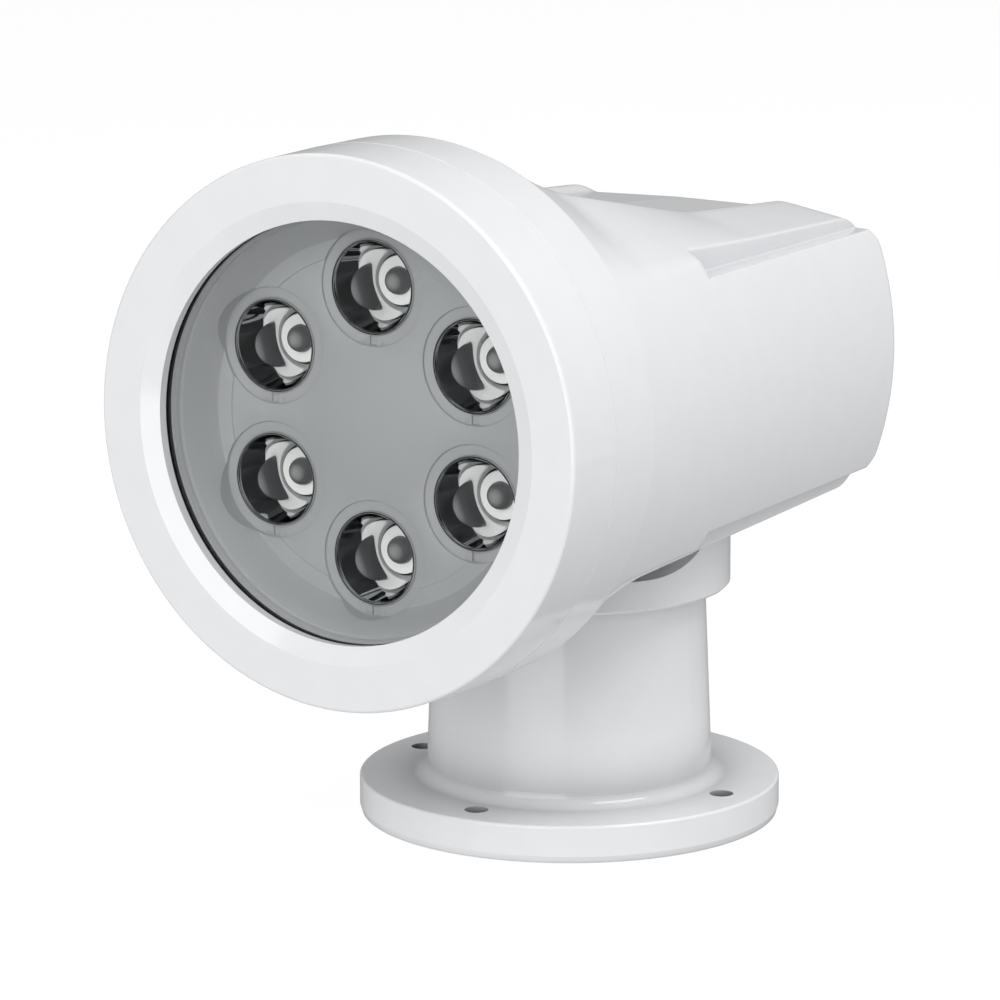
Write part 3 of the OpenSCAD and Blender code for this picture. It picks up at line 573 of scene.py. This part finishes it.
def with_rebate(radius, angles, y):
    """Cuts the corner rebate, which starts with a rounded step."""
    wall = wall_x(y) / np.maximum(np.cos(angles), TINY)
    ledge = LEDGE / np.maximum(np.sin(angles), TINY)
    cut = np.minimum(radius, soft_min(radius, soft_max(wall, ledge, EDGE_SOFT), EDGE_SOFT))
    return radius + (cut - radius) * soft_step((y - REBATE_FRONT) / EDGE_SOFT + 0.5)


print("share of the width that the rounded rear keeps:", round(across(REAR_END), 3))

# %% [markdown]
# Evenly spaced points would miss the corners and leave saw teeth along them. So the points of a ring are
# spaced from corner to corner. Every ring has the same number of points, which lets `skin` join them.

# %% One ring of the head
UPPER_STEPS = (24, 14, 14, 16, 12, 26)
LOWER_STEPS = (24, 14, 14, 44)


def between(corners, steps):
    """Angles from corner to corner, closer together near each corner."""
    angles = [np.array([corners[0]])]
    for start, end, count in zip(corners, corners[1:], steps):
        t = (1 - np.cos(np.pi * np.arange(1, count + 1) / count)) / 2
        angles.append(start + (end - start) * t)
    return np.concatenate(angles)


def ring_angles(y):
    """Angles of the upper and the lower half of a ring, which follow the head's corner lines."""
    wall, top, sole, share = wall_x(y), crest_height(y), sole_height(y), across(y)
    edge_x, edge_z = turn_edge(y)
    lip_z = min(LEDGE, edge_z)
    lip = math.atan2(lip_z, side_x(min(y, REAR_BACK), lip_z) * share)
    slope = (top - edge_z) / (edge_x - CREST_HALF)
    wall_top = max(lip + 2 * TINY, math.atan2(edge_z + slope * (edge_x - wall / share), wall))
    sole_edge = max(lip + 2 * TINY, math.atan2(sole, wall))
    corner = math.atan2(LEDGE, wall)
    crest = math.atan2(top, CREST_HALF * share)
    foot = math.atan2(top - CHANNEL_DEPTH, (CREST_HALF - CHANNEL_BANK) * share)
    above = (0, lip, min(corner, wall_top - TINY), wall_top, crest, foot, math.pi / 2)
    below = (0, lip, min(corner, sole_edge - TINY), sole_edge, math.pi / 2)
    return between(above, UPPER_STEPS), between(below, LOWER_STEPS)


def head_ring(y):
    """The outline of the head at a station, as (x, z) points."""
    at = max(y, FLANK_FOOT)
    halves = []
    for angles, half, sign in zip(ring_angles(at), (upper_radius, lower_radius), (1, -1)):
        foot = half(angles, FLANK_FOOT)
        radius = with_rim(body_radius(half, angles, max(y, RIM_BACK)), foot, y)
        reach = with_rebate(radius, angles, at)
        halves.append(np.stack((reach * np.cos(angles), sign * reach * np.sin(angles)), axis=1))
    up, down = halves
    mirror = (-1, 1)
    return np.concatenate((up, up[-2::-1] * mirror, down[1:] * mirror, down[-2:0:-1]))


print("points in a ring:", len(head_ring(0.0)))

# %% [markdown]
# The rings stand close together where the shape changes fast: at the flank, at the step of the rebates and
# round the rear edge. The last rings shrink towards the middle and bulge a little, which crowns the back.

# %% Stations from the seam to the crowned back
RIM_ROWS = 4
ROW_GAP = 1.0
FLANK_STEP = 0.5
AHEAD_STEP = 2.0
CUT_ROWS = 9
CUT_REACH = 0.6
BODY_ROWS = 42
REAR_ROWS = 31
CROWN_ROWS = 14
CROWN_SHARES = (0.96, 0.04)
HEAD_SMOOTH = 35


def head_stations():
    """Pairs of y and the scale of the ring there."""
    rim = np.linspace(seam_y + SEAM_CHAMFER, RIM_BACK - FLANK_STEP, RIM_ROWS)
    flank = np.arange(RIM_BACK, FLANK_FOOT + FLANK_BLEND, FLANK_STEP)
    ahead = np.arange(FLANK_FOOT + FLANK_BLEND + ROW_GAP, REBATE_FRONT - ROW_GAP, AHEAD_STEP)
    step = REBATE_FRONT + EDGE_SOFT * np.linspace(-CUT_REACH, CUT_REACH, CUT_ROWS)
    body = np.linspace(REBATE_FRONT + ROW_GAP, REAR_END - TOP_ROUND, BODY_ROWS)
    turn = np.linspace(0, math.pi / 2, REAR_ROWS)[1:]
    rear = REAR_END - TOP_ROUND * (1 - np.sin(turn))
    rows = [(seam_y, 1 - SEAM_CHAMFER / rim_r)]
    rows += [(y, 1.0) for y in np.concatenate((rim, flank, ahead, step, body, rear))]
    crown = np.linspace(*CROWN_SHARES, CROWN_ROWS)
    rows += [(REAR_END + REAR_CROWN * (1 - share ** 2), share) for share in crown]
    return rows


def head_skin():
    """Points and faces of the head's closed outer skin."""
    rings = []
    for y, scale in head_stations():
        outline = head_ring(min(y, REAR_END)) * scale
        rings.append(np.stack((outline[:, 0], np.full(len(outline), y), outline[:, 1]), axis=1))
    return skin(rings)


housing = solid("moulded_head", *head_skin())
print("head skin:", len(housing.data.polygons), "faces")

# %% [markdown]
# The inside matters only where one can look in: through the slot in the sole, which lets the head tilt
# over its collar, and at the open front. Plain blocks and cylinders are cut away with exact booleans.
# The cutters reach past each other by different amounts, because faces that lie on each other spoil a
# boolean. They are removed afterwards, so they can't show in the picture.

# %% Hollow the head
WALL = 4.0
SPIGOT_R = 69.2
SPIGOT_DEPTH = 8.6
CHAMBER_R = 61.0
CHAMBER_BACK = -81.7
SEAT_R = 49.0
CAVITY_FRONT = -75.7
CAVITY_BACK = 62.0
CAVITY_TOP = 36.5
CAVITY_SIDE = 32.2
SLOT_HALF = 49.15
SLOT_LIP = 1.2
SLOT_FRONT = -70.0
SLOT_BACK = 66.0
FAR = 200.0
OVERLAP = 1.0
ARC_STEPS = 24


def rod(name, radius, start, end):
    """A cylinder along Y."""
    return solid(name, *turned([(radius, start), (radius, end)]))


def block(name, low, high):
    """A box between two corners."""
    floor_ring = [(low[0], low[1]), (high[0], low[1]), (high[0], high[1]), (low[0], high[1])]
    rings = [np.array([(x, y, z) for x, y in floor_ring]) for z in (low[2], high[2])]
    return solid(name, *skin(rings))


def flat_sided(name, ends):
    """A cone along Y with its top and bottom cut flat, for the room behind the bosses."""
    rings = []
    for y in ends:
        radius = side_x(y, 0) - WALL
        limit = math.asin(CAVITY_SIDE / radius)
        right = np.linspace(-limit, limit, ARC_STEPS)
        turn = np.concatenate((right, math.pi + right))
        along = np.full(len(turn), y)
        rings.append(np.stack((radius * np.cos(turn), along, radius * np.sin(turn)), axis=1))
    return solid(name, *skin(rings))


def cut_away(body, cutters):
    """Cuts every cutter out of a body and removes the cutters."""
    for cutter in cutters:
        modifier = body.modifiers.new(cutter.name, "BOOLEAN")
        modifier.operation = "DIFFERENCE"
        modifier.solver = "EXACT"
        modifier.object = cutter
    bpy.context.view_layer.update()
    result = bpy.data.meshes.new_from_object(body.evaluated_get(bpy.context.evaluated_depsgraph_get()))
    body.modifiers.clear()
    body.data = result
    for cutter in cutters:
        bpy.data.objects.remove(cutter)


room = SLOT_HALF - SLOT_LIP
cut_away(housing, [
    rod("spigot_bore", SPIGOT_R, seam_y - OVERLAP, seam_y + SPIGOT_DEPTH),
    rod("lamp_chamber", CHAMBER_R, seam_y - 2 * OVERLAP, CHAMBER_BACK),
    rod("seat_bore", SEAT_R, seam_y - 3 * OVERLAP, CAVITY_FRONT + OVERLAP),
    flat_sided("side_room", (CAVITY_FRONT, CAVITY_BACK)),
    block("middle_room", (-room, CAVITY_FRONT, -CAVITY_TOP), (room, CAVITY_BACK, CAVITY_TOP)),
    block("sole_slot", (-SLOT_HALF, SLOT_FRONT, -FAR), (SLOT_HALF, SLOT_BACK, OVERLAP - CAVITY_SIDE)),
])
smooth(housing, HEAD_SMOOTH)
print("hollow head:", len(housing.data.polygons), "faces")

# %% [markdown]
# Two bosses inside the head hold the ends of the tilt axles, and four posts carry the driver board. They are
# plain tubes, so each is a small profile turned by `lathe`. A boss lies along X: its points are drawn along
# Y and swapped. The tubes are joined to the head's mesh, because they are the same moulding.

# %% Bosses and posts
BOSS_R = 13.0
BOSS_IN = 41.0
BOSS_BORE = 6.02
BOSS_STEPS = 48
POST_R = 3.5
POST_BORE = 1.27
POST_FRONT = 56.0
POST_STEPS = 24
POST_SPREAD = (30.0, 17.0)


def tube(outside, inside, start, end):
    """Profile of a tube."""
    return [(inside, start), (outside, start), (outside, end), (inside, end)]


def join(body, pieces):
    """Adds the meshes of other pieces to a body's mesh."""
    work = bmesh.new()
    work.from_mesh(body.data)
    for piece in pieces:
        work.from_mesh(piece.data)
        bpy.data.objects.remove(piece)
    work.to_mesh(body.data)
    work.free()


inner_tubes = []
for side in (-1, 1):
    boss = tube(BOSS_R, BOSS_BORE, BOSS_IN, side_x(0, 0) - WALL + OVERLAP)
    points, faces = lathe(boss, steps=BOSS_STEPS)
    along_x = points[:, [1, 0, 2]] * (side, 1, 1)
    inner_tubes.append(solid("axle_boss", along_x, faces))
    for level in (-1, 1):
        centre = (side * POST_SPREAD[0], level * POST_SPREAD[1])
        post = tube(POST_R, POST_BORE, POST_FRONT, CAVITY_BACK + OVERLAP)
        inner_tubes.append(solid("driver_post", *lathe(post, centre, POST_STEPS)))
join(housing, inner_tubes)
smooth(housing, HEAD_SMOOTH)
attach(housing, "lamp_head")
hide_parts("housing")
print("head with bosses:", len(housing.data.polygons), "faces")

# %% [markdown]
# ## Reflector cups
# Each lamp sits in a thin plastic cup, metallised in a vacuum like a torch reflector. A deep cup starts
# almost as a cylinder at its mouth and bends in faster near its base, as a parabola does: the square of its
# radius grows evenly with the height. Near the mouth the wall mirrors the studio, and further in it mirrors
# the emitter. The profile is one formula, drawn once and turned about each lamp's own line.

# %% Sizes of the lamps
LAMP_COUNT = 6
LAMP_CIRCLE = 37.9
PLATE_Y = -103.3
CUP_DEPTH = 15.0
CUP_BASE = 7.3
CUP_MOUTH = 12.6
CUP_WALL = 0.7
CUP_STEPS = 28
CUP_FLANGE = 15.5
LIP_STEPS = 9
LAMP_SMOOTH = 40
FLANGE_FRONT = -101.2
FLANGE_BACK = -100.2
BOARD_Y = PLATE_Y + CUP_DEPTH


def lamp_centre(index):
    """Place of a lamp across the plate. The first lamp is at the top."""
    turn = math.radians(90 + 360 * index / LAMP_COUNT)
    return LAMP_CIRCLE * math.cos(turn), LAMP_CIRCLE * math.sin(turn)


def cup_radius(rise):
    """Inside radius of a cup, from its base at 0 to its mouth at 1."""
    return math.sqrt(CUP_BASE ** 2 + (CUP_MOUTH ** 2 - CUP_BASE ** 2) * rise)


def cup_profile():
    """The mirror, the rounded lip, the back of the cup and its seating flange."""
    rises = np.linspace(0, 1, CUP_STEPS + 1)
    mirror = [(cup_radius(t), BOARD_Y - CUP_DEPTH * t) for t in rises[:-1]]
    half = CUP_WALL / 2
    mouth = cup_radius(1) + half
    turn = np.linspace(math.pi, 0, LIP_STEPS)
    lip = [(mouth + half * math.cos(a), PLATE_Y + half - half * math.sin(a)) for a in turn]
    flange = [(mouth + half, FLANGE_FRONT), (CUP_FLANGE, FLANGE_FRONT), (CUP_FLANGE, FLANGE_BACK)]
    back = [(cup_radius(t) + CUP_WALL, BOARD_Y - CUP_DEPTH * t) for t in rises[::-1]]
    behind = [(r, y) for r, y in back if y > FLANGE_BACK]
    return mirror + lip + flange + [(behind[0][0], FLANGE_BACK)] + behind


cups = []
for index in range(LAMP_COUNT):
    cup = solid(f"cup_{index + 1}", *lathe(cup_profile(), lamp_centre(index)))
    smooth(cup, LAMP_SMOOTH)
    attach(cup, "lamp_head")
    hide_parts(f"reflector_{index + 1}")
    cups.append(cup)
print("cups:", len(cups), "mouth radius", round(cup_radius(1), 2))

# %% [markdown]
# ## Emitters
# An emitter is a white moulded package with a smoky silicone dome. The package has a rounded edge and leaves
# a fine dark gap to the cup's base. Under the dome lies the die, which shows as a lighter spot. Package and
# dome are turned as one profile, and the faces later take their material from how far forward they lie.

# %% Package and dome
PACKAGE_R = 6.9
PACKAGE_H = 1.2
PACKAGE_ROUND = 0.3
DOME_R = 4.0
EDGE_STEPS = 6
DOME_STEPS = 25
EMITTER_STEPS = 64


def emitter_profile():
    """From the board round the package's edge and up over the dome, almost to the axis."""
    front = BOARD_Y - PACKAGE_H
    inner = PACKAGE_R - PACKAGE_ROUND
    outline = [(PACKAGE_R, BOARD_Y)]
    for a in np.linspace(0, math.pi / 2, EDGE_STEPS):
        outline.append((inner + PACKAGE_ROUND * math.cos(a), front + PACKAGE_ROUND * (1 - math.sin(a))))
    for a in np.linspace(0, math.pi / 2, DOME_STEPS)[:-1]:
        outline.append((DOME_R * math.cos(a), front - DOME_R * math.sin(a)))
    return outline


emitters = []
for index in range(LAMP_COUNT):
    shape = turned(emitter_profile(), lamp_centre(index), EMITTER_STEPS)
    emitter = solid(f"emitter_{index + 1}", *shape)
    smooth(emitter, LAMP_SMOOTH)
    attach(emitter, "lamp_head")
    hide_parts(f"led_{index + 1}")
    emitters.append(emitter)
print("emitters:", len(emitters), "faces each", len(emitters[0].data.polygons))

# %% [markdown]
# ## White moulded plastic
# The outside is UV-stable ASA, injection moulded in a polished tool. It is a clean, slightly cool white with
# a crisp gloss. What gives it away as plastic is a very faint waviness, left by shrinkage, that softens the
# edges of reflections. The waves are about 9 mm long. Real polish marks are too fine to show, so they are
# drawn 0.4 mm wide. Inner corners get painted shade: an occlusion test darkens their colour, faintly on the
# head, and more on the base with its bolt holes and the foot of its column.

# %% Moulded gloss ASA
WAVE_MM = 9.0
POLISH_MM = 0.4
# How far the painted shade in inner corners reaches, and the occlusion range over which it fades out.
PAINTED_SHADE_REACH_MM = 20.0
PAINTED_SHADE_RANGE = (0.15, 0.95)


def gloss_asa_with_painted_shade(name, painted_shade_tint):
    """White ASA from a polished mould: bright, slightly wavy gloss, with painted shade darkening its inner
    corners.
    """
    material, tree, shader, place = start(name, IOR=1.5)
    wave = add(tree, "ShaderNodeTexNoise", {"Vector": place, "Scale": per(WAVE_MM), "Detail": 1.0})
    polish = add(tree, "ShaderNodeTexNoise", {"Vector": place, "Scale": per(POLISH_MM), "Detail": 2.0})
    tint = add(tree, "ShaderNodeValToRGB", {"Fac": wave.outputs["Fac"]})
    tint.color_ramp.elements[0].color = colour("#e6e7e9")
    tint.color_ramp.elements[1].color = colour("#eaebed")
    # Painted shade: an occlusion test darkens the colour where the piece's own surfaces lie close by.
    occlusion = add(tree, "ShaderNodeAmbientOcclusion", {"Distance": PAINTED_SHADE_REACH_MM * MM}, samples=8, only_local=True)
    shade = add(tree, "ShaderNodeValToRGB", {"Fac": occlusion.outputs["AO"]})
    shade.color_ramp.elements[0].position, shade.color_ramp.elements[1].position = PAINTED_SHADE_RANGE
    shade.color_ramp.elements[0].color = colour(painted_shade_tint)
    shade.color_ramp.elements[1].color = (1, 1, 1, 1)
    shaded = add(tree, "ShaderNodeMixRGB", {
        "Fac": 1.0, "Color1": tint.outputs["Color"], "Color2": shade.outputs["Color"]}, blend_type="MULTIPLY")
    rough = add(tree, "ShaderNodeMapRange", {"Value": polish.outputs["Fac"], "To Min": 0.09, "To Max": 0.15})
    relief = {"Height": wave.outputs["Fac"], "Strength": 0.05, "Distance": 0.05 * MM}
    bump = add(tree, "ShaderNodeBump", relief)
    tree.links.new(shaded.outputs["Color"], shader.inputs["Base Color"])
    tree.links.new(rough.outputs["Result"], shader.inputs["Roughness"])
    tree.links.new(bump.outputs["Normal"], shader.inputs["Normal"])
    return material


# The white shell gets faint painted shade in its inner corners; the base gets deep painted shade round its bolt
# holes and the foot of its column.
white_shell = gloss_asa_with_painted_shade("gloss_asa_with_painted_shade", "#dcddde")
base_white_with_painted_shade = gloss_asa_with_painted_shade("gloss_asa_base_painted_shade", "#646567")
print("materials:", white_shell.name, base_white_with_painted_shade.name)

# %% [markdown]
# ## Grey lamp plate
# The plate behind the window is die-cast and spray-painted in a satin grey. Spray paint dries with a fine
# orange peel, here about 0.6 mm across, which spreads highlights without making the surface look rough.

# %% Sprayed satin grey
PEEL_MM = 0.6


def sprayed_satin_grey():
    """Satin grey paint with a fine orange peel."""
    material, tree, shader, place = start("sprayed_satin_grey", Roughness=0.42, IOR=1.5)
    peel = add(tree, "ShaderNodeTexNoise", {"Vector": place, "Scale": per(PEEL_MM), "Detail": 2.0})
    tint = add(tree, "ShaderNodeValToRGB", {"Fac": peel.outputs["Fac"]})
    tint.color_ramp.elements[0].color = colour("#a6a8a9")
    tint.color_ramp.elements[1].color = colour("#aeb0b1")
    relief = {"Height": peel.outputs["Fac"], "Strength": 0.1, "Distance": 0.02 * MM}
    bump = add(tree, "ShaderNodeBump", relief)
    tree.links.new(tint.outputs["Color"], shader.inputs["Base Color"])
    tree.links.new(bump.outputs["Normal"], shader.inputs["Normal"])
    return material


grey_plate = sprayed_satin_grey()
print("material:", grey_plate.name)

# %% [markdown]
# ## Chromed cups
# A vacuum-metallised cup is a thin film of aluminium under clear lacquer: a mirror with a faint haze. A fully
# metallic shader with a low roughness gives the mirror. A noise varies the roughness, so that the haze is
# uneven, as lacquer leaves it.

# %% Metallised mirror
HAZE_MM = 1.5


def vacuum_metallised_mirror():
    """Aluminium film under lacquer: a mirror with a faint, uneven haze."""
    material, tree, shader, place = start(
        "vacuum_metallised_mirror", Metallic=1.0, Base_Color=colour("#f0f1f2"))
    haze = add(tree, "ShaderNodeTexNoise", {"Vector": place, "Scale": per(HAZE_MM), "Detail": 2.0})
    rough = add(tree, "ShaderNodeMapRange", {"Value": haze.outputs["Fac"], "To Min": 0.02, "To Max": 0.05})
    tree.links.new(rough.outputs["Result"], shader.inputs["Roughness"])
    return material


chrome_cup = vacuum_metallised_mirror()
print("material:", chrome_cup.name)

# %% [markdown]
# ## Window
# The window is polished polycarbonate. Light for the inside has to pass it, so shadow and diffuse rays see it
# as fully clear, while the camera sees the real refraction and gloss.

# %% Polished window
def polished_polycarbonate():
    """Clear window that lets light through to the lamps."""
    material, tree, shader, place = start(
        "polished_polycarbonate", Base_Color=colour("#fcfdfd"), Transmission_Weight=1.0, IOR=1.5)
    film = add(tree, "ShaderNodeTexNoise", {"Vector": place, "Scale": per(WAVE_MM), "Detail": 1.0})
    rough = add(tree, "ShaderNodeMapRange", {"Value": film.outputs["Fac"], "To Min": 0.0, "To Max": 0.01})
    tree.links.new(rough.outputs["Result"], shader.inputs["Roughness"])
    path = add(tree, "ShaderNodeLightPath").outputs
    light = {0: path["Is Shadow Ray"], 1: path["Is Diffuse Ray"]}
    passing = add(tree, "ShaderNodeMath", light, operation="MAXIMUM")
    clear = add(tree, "ShaderNodeBsdfTransparent")
    mix = add(tree, "ShaderNodeMixShader", {0: passing.outputs[0], 1: shader.outputs[0], 2: clear.outputs[0]})
    tree.links.new(mix.outputs[0], tree.nodes["Material Output"].inputs["Surface"])
    return material


clear_window = polished_polycarbonate()
print("material:", clear_window.name)

# %% [markdown]
# ## Emitter package and dome
# The package is white epoxy with a filler that leaves it slightly rough. The filler's real grain is too fine
# to show, so it is drawn 0.15 mm wide. The dome is cast silicone, through which the die shows. Its colour is
# drawn on the dome's surface: smoky round the foot and lighter round the top, by the way in which the surface
# faces. So light needn't find its way through one more clear piece.

# %% Emitter package and dome
GRAIN_MM = 0.15
DIE_EDGE = 0.75


def moulded_epoxy_package():
    """White filled epoxy, slightly rough from its filler."""
    material, tree, shader, place = start("moulded_epoxy_package", Base_Color=colour("#fcfcfa"), IOR=1.5)
    grain = add(tree, "ShaderNodeTexNoise", {"Vector": place, "Scale": per(GRAIN_MM), "Detail": 2.0})
    rough = add(tree, "ShaderNodeMapRange", {"Value": grain.outputs["Fac"], "To Min": 0.3, "To Max": 0.45})
    tree.links.new(rough.outputs["Result"], shader.inputs["Roughness"])
    return material


def cast_silicone_dome():
    """Smoky silicone over the die, which shows as a lighter spot round the dome's top."""
    material, tree, shader, place = start("cast_silicone_dome", IOR=1.41)
    grain = add(tree, "ShaderNodeTexNoise", {"Vector": place, "Scale": per(GRAIN_MM), "Detail": 1.0})
    rough = add(tree, "ShaderNodeMapRange", {"Value": grain.outputs["Fac"], "To Min": 0.08, "To Max": 0.14})
    facing = add(tree, "ShaderNodeSeparateXYZ", {0: place.node.outputs["Normal"]})
    middle = {"Value": facing.outputs["Y"], "From Min": -DIE_EDGE, "From Max": -1.0}
    tint = add(tree, "ShaderNodeValToRGB", {"Fac": add(tree, "ShaderNodeMapRange", middle).outputs["Result"]})
    tint.color_ramp.elements[0].color = colour("#666667")
    tint.color_ramp.elements[1].color = colour("#9a9a9a")
    tree.links.new(rough.outputs["Result"], shader.inputs["Roughness"])
    tree.links.new(tint.outputs["Color"], shader.inputs["Base Color"])
    return material


package_finish = moulded_epoxy_package()
dome_finish = cast_silicone_dome()
print("materials:", package_finish.name, dome_finish.name)

# %% [markdown]
# ## Rubber
# The hidden pieces get honest finishes too, because the head can be tilted and the base can be turned over.
# Gaskets, seals and the cable gland are black moulded rubber. It is matt, with the fine grain of a
# spark-eroded mould, drawn as coarse as the emitters' filler.

# %% Rubber
def moulded_rubber():
    """Black rubber with the fine grain of its mould."""
    material, tree, shader, place = start("moulded_rubber", Base_Color=colour("#161617"), IOR=1.5)
    grain = add(tree, "ShaderNodeTexNoise", {"Vector": place, "Scale": per(GRAIN_MM), "Detail": 2.0})
    rough = add(tree, "ShaderNodeMapRange", {"Value": grain.outputs["Fac"], "To Min": 0.5, "To Max": 0.7})
    relief = {"Height": grain.outputs["Fac"], "Strength": 0.2, "Distance": 0.02 * MM}
    bump = add(tree, "ShaderNodeBump", relief)
    tree.links.new(rough.outputs["Result"], shader.inputs["Roughness"])
    tree.links.new(bump.outputs["Normal"], shader.inputs["Normal"])
    return material


black_rubber = moulded_rubber()
print("material:", black_rubber.name)

# %% [markdown]
# ## Machined metals
# Turned metal shows rings and milled alloy straight cutter marks, both from one wave texture. Real marks are
# a few tenths of a millimetre apart, too fine to show, so they are drawn coarser. The rings' axis is the
# same for every piece, which is near enough for pieces that are hardly seen. The wave node multiplies its
# place by 20 before it takes the sine, so a scale of 2 pi / 20 gives one mark per unit.

# %% Metals
TOOL_MARK_MM = 1.5708
ONE_WAVE = 2 * math.pi / 20


def cut_metal(name, hex_value, pattern):
    """A machined metal whose tool marks are rings or bands."""
    material, tree, shader, place = start(name, Metallic=1.0, Base_Color=colour(hex_value))
    spacing = {"Vector": place, "Scale": per(TOOL_MARK_MM) * ONE_WAVE, "Distortion": 0.6, "Detail": 1.0}
    marks = add(tree, "ShaderNodeTexWave", spacing, wave_type=pattern)
    rough = add(tree, "ShaderNodeMapRange", {"Value": marks.outputs["Fac"], "To Min": 0.22, "To Max": 0.36})
    relief = {"Height": marks.outputs["Fac"], "Strength": 0.15, "Distance": 0.01 * MM}
    bump = add(tree, "ShaderNodeBump", relief)
    tree.links.new(rough.outputs["Result"], shader.inputs["Roughness"])
    tree.links.new(bump.outputs["Normal"], shader.inputs["Normal"])
    return material


turned_bronze = cut_metal("turned_bronze", "#c79a58", "RINGS")
turned_steel = cut_metal("turned_stainless_steel", "#c8cacc", "RINGS")
milled_alloy = cut_metal("milled_aluminium", "#d0d2d4", "BANDS")
print("materials:", turned_bronze.name, turned_steel.name, milled_alloy.name)

# %% [markdown]
# ## Circuit boards
# The boards are woven glass fibre under a green solder mask. The weave shows faintly through the mask, as
# small squares of two nearly equal greens, which a checker texture draws at the pitch of the yarn.

# %% Boards
WEAVE_MM = 0.8


def solder_masked_board():
    """Green solder mask over woven glass fibre."""
    material, tree, shader, place = start("solder_masked_board", Roughness=0.35, IOR=1.5)
    weave = add(tree, "ShaderNodeTexChecker", {
        "Vector": place, "Scale": per(WEAVE_MM), "Color1": colour("#0c2617"), "Color2": colour("#0e2a1a")})
    relief = {"Height": weave.outputs["Fac"], "Strength": 0.1, "Distance": 0.01 * MM}
    bump = add(tree, "ShaderNodeBump", relief)
    tree.links.new(weave.outputs["Color"], shader.inputs["Base Color"])
    tree.links.new(bump.outputs["Normal"], shader.inputs["Normal"])
    return material


circuit_board = solder_masked_board()
print("material:", circuit_board.name)

# %% [markdown]
# ## Dressing the pieces
# The frame's record says which finish each piece has, as a slot. One table gives each slot its material. The
# base has its own white, with deeper painted shade in its inner corners, and the emitters get a second material
# for the faces that belong to the dome. The plate's edges are eased with a bevel, as paint rounds them, so
# that the counterbores catch a line of light.
# A bevel needs joined edges, so the plate's points are welded first.

# %% Put the materials on
finishes = {
    "white_shell": white_shell,
    "black_rubber": black_rubber,
    "bronze_bush": turned_bronze,
    "bright_steel": turned_steel,
    "plain_alloy": milled_alloy,
    "grey_plate": grey_plate,
    "chrome_cup": chrome_cup,
    "clear_window": clear_window,
    "emitter": package_finish,
    "circuit_board": circuit_board,
}
SMOOTH_LIMIT = 30
EDGE_EASE = 0.3
EASE_STEPS = 2
WELD_GAP = 0.002
DOME_GAP = 0.01


def dress(piece, finish):
    """Gives a piece one finish."""
    piece.data.materials.clear()
    piece.data.materials.append(finish)


def ease_edges(piece):
    """Rounds a piece's sharp edges with modifiers, which leave its mesh as it is."""
    piece.modifiers.new("joined_points", "WELD").merge_threshold = WELD_GAP * MM
    ease = piece.modifiers.new("eased_edges", "BEVEL")
    ease.width = EDGE_EASE * MM
    ease.segments = EASE_STEPS
    ease.angle_limit = math.radians(SMOOTH_LIMIT)
    ease.harden_normals = True


for subpart in frame["record"]["subparts"]:
    node = nodes[subpart["node"]]
    dress(node, finishes[subpart["material_slot"]])
    smooth(node, SMOOTH_LIMIT)
ease_edges(nodes["led_plate"])
# The base's white has deep painted shade round its bolt holes and the foot of its column.
dress(nodes["base_casting"], base_white_with_painted_shade)
dress(housing, white_shell)
for cup in cups:
    dress(cup, chrome_cup)
dome_start = BOARD_Y - PACKAGE_H - DOME_GAP
for emitter in emitters:
    dress(emitter, package_finish)
    emitter.data.materials.append(dome_finish)
    for face in emitter.data.polygons:
        face.material_index = int(face.center.y / MM < dome_start)
print("dressed pieces:", len(nodes) + 1 + len(cups) + len(emitters))
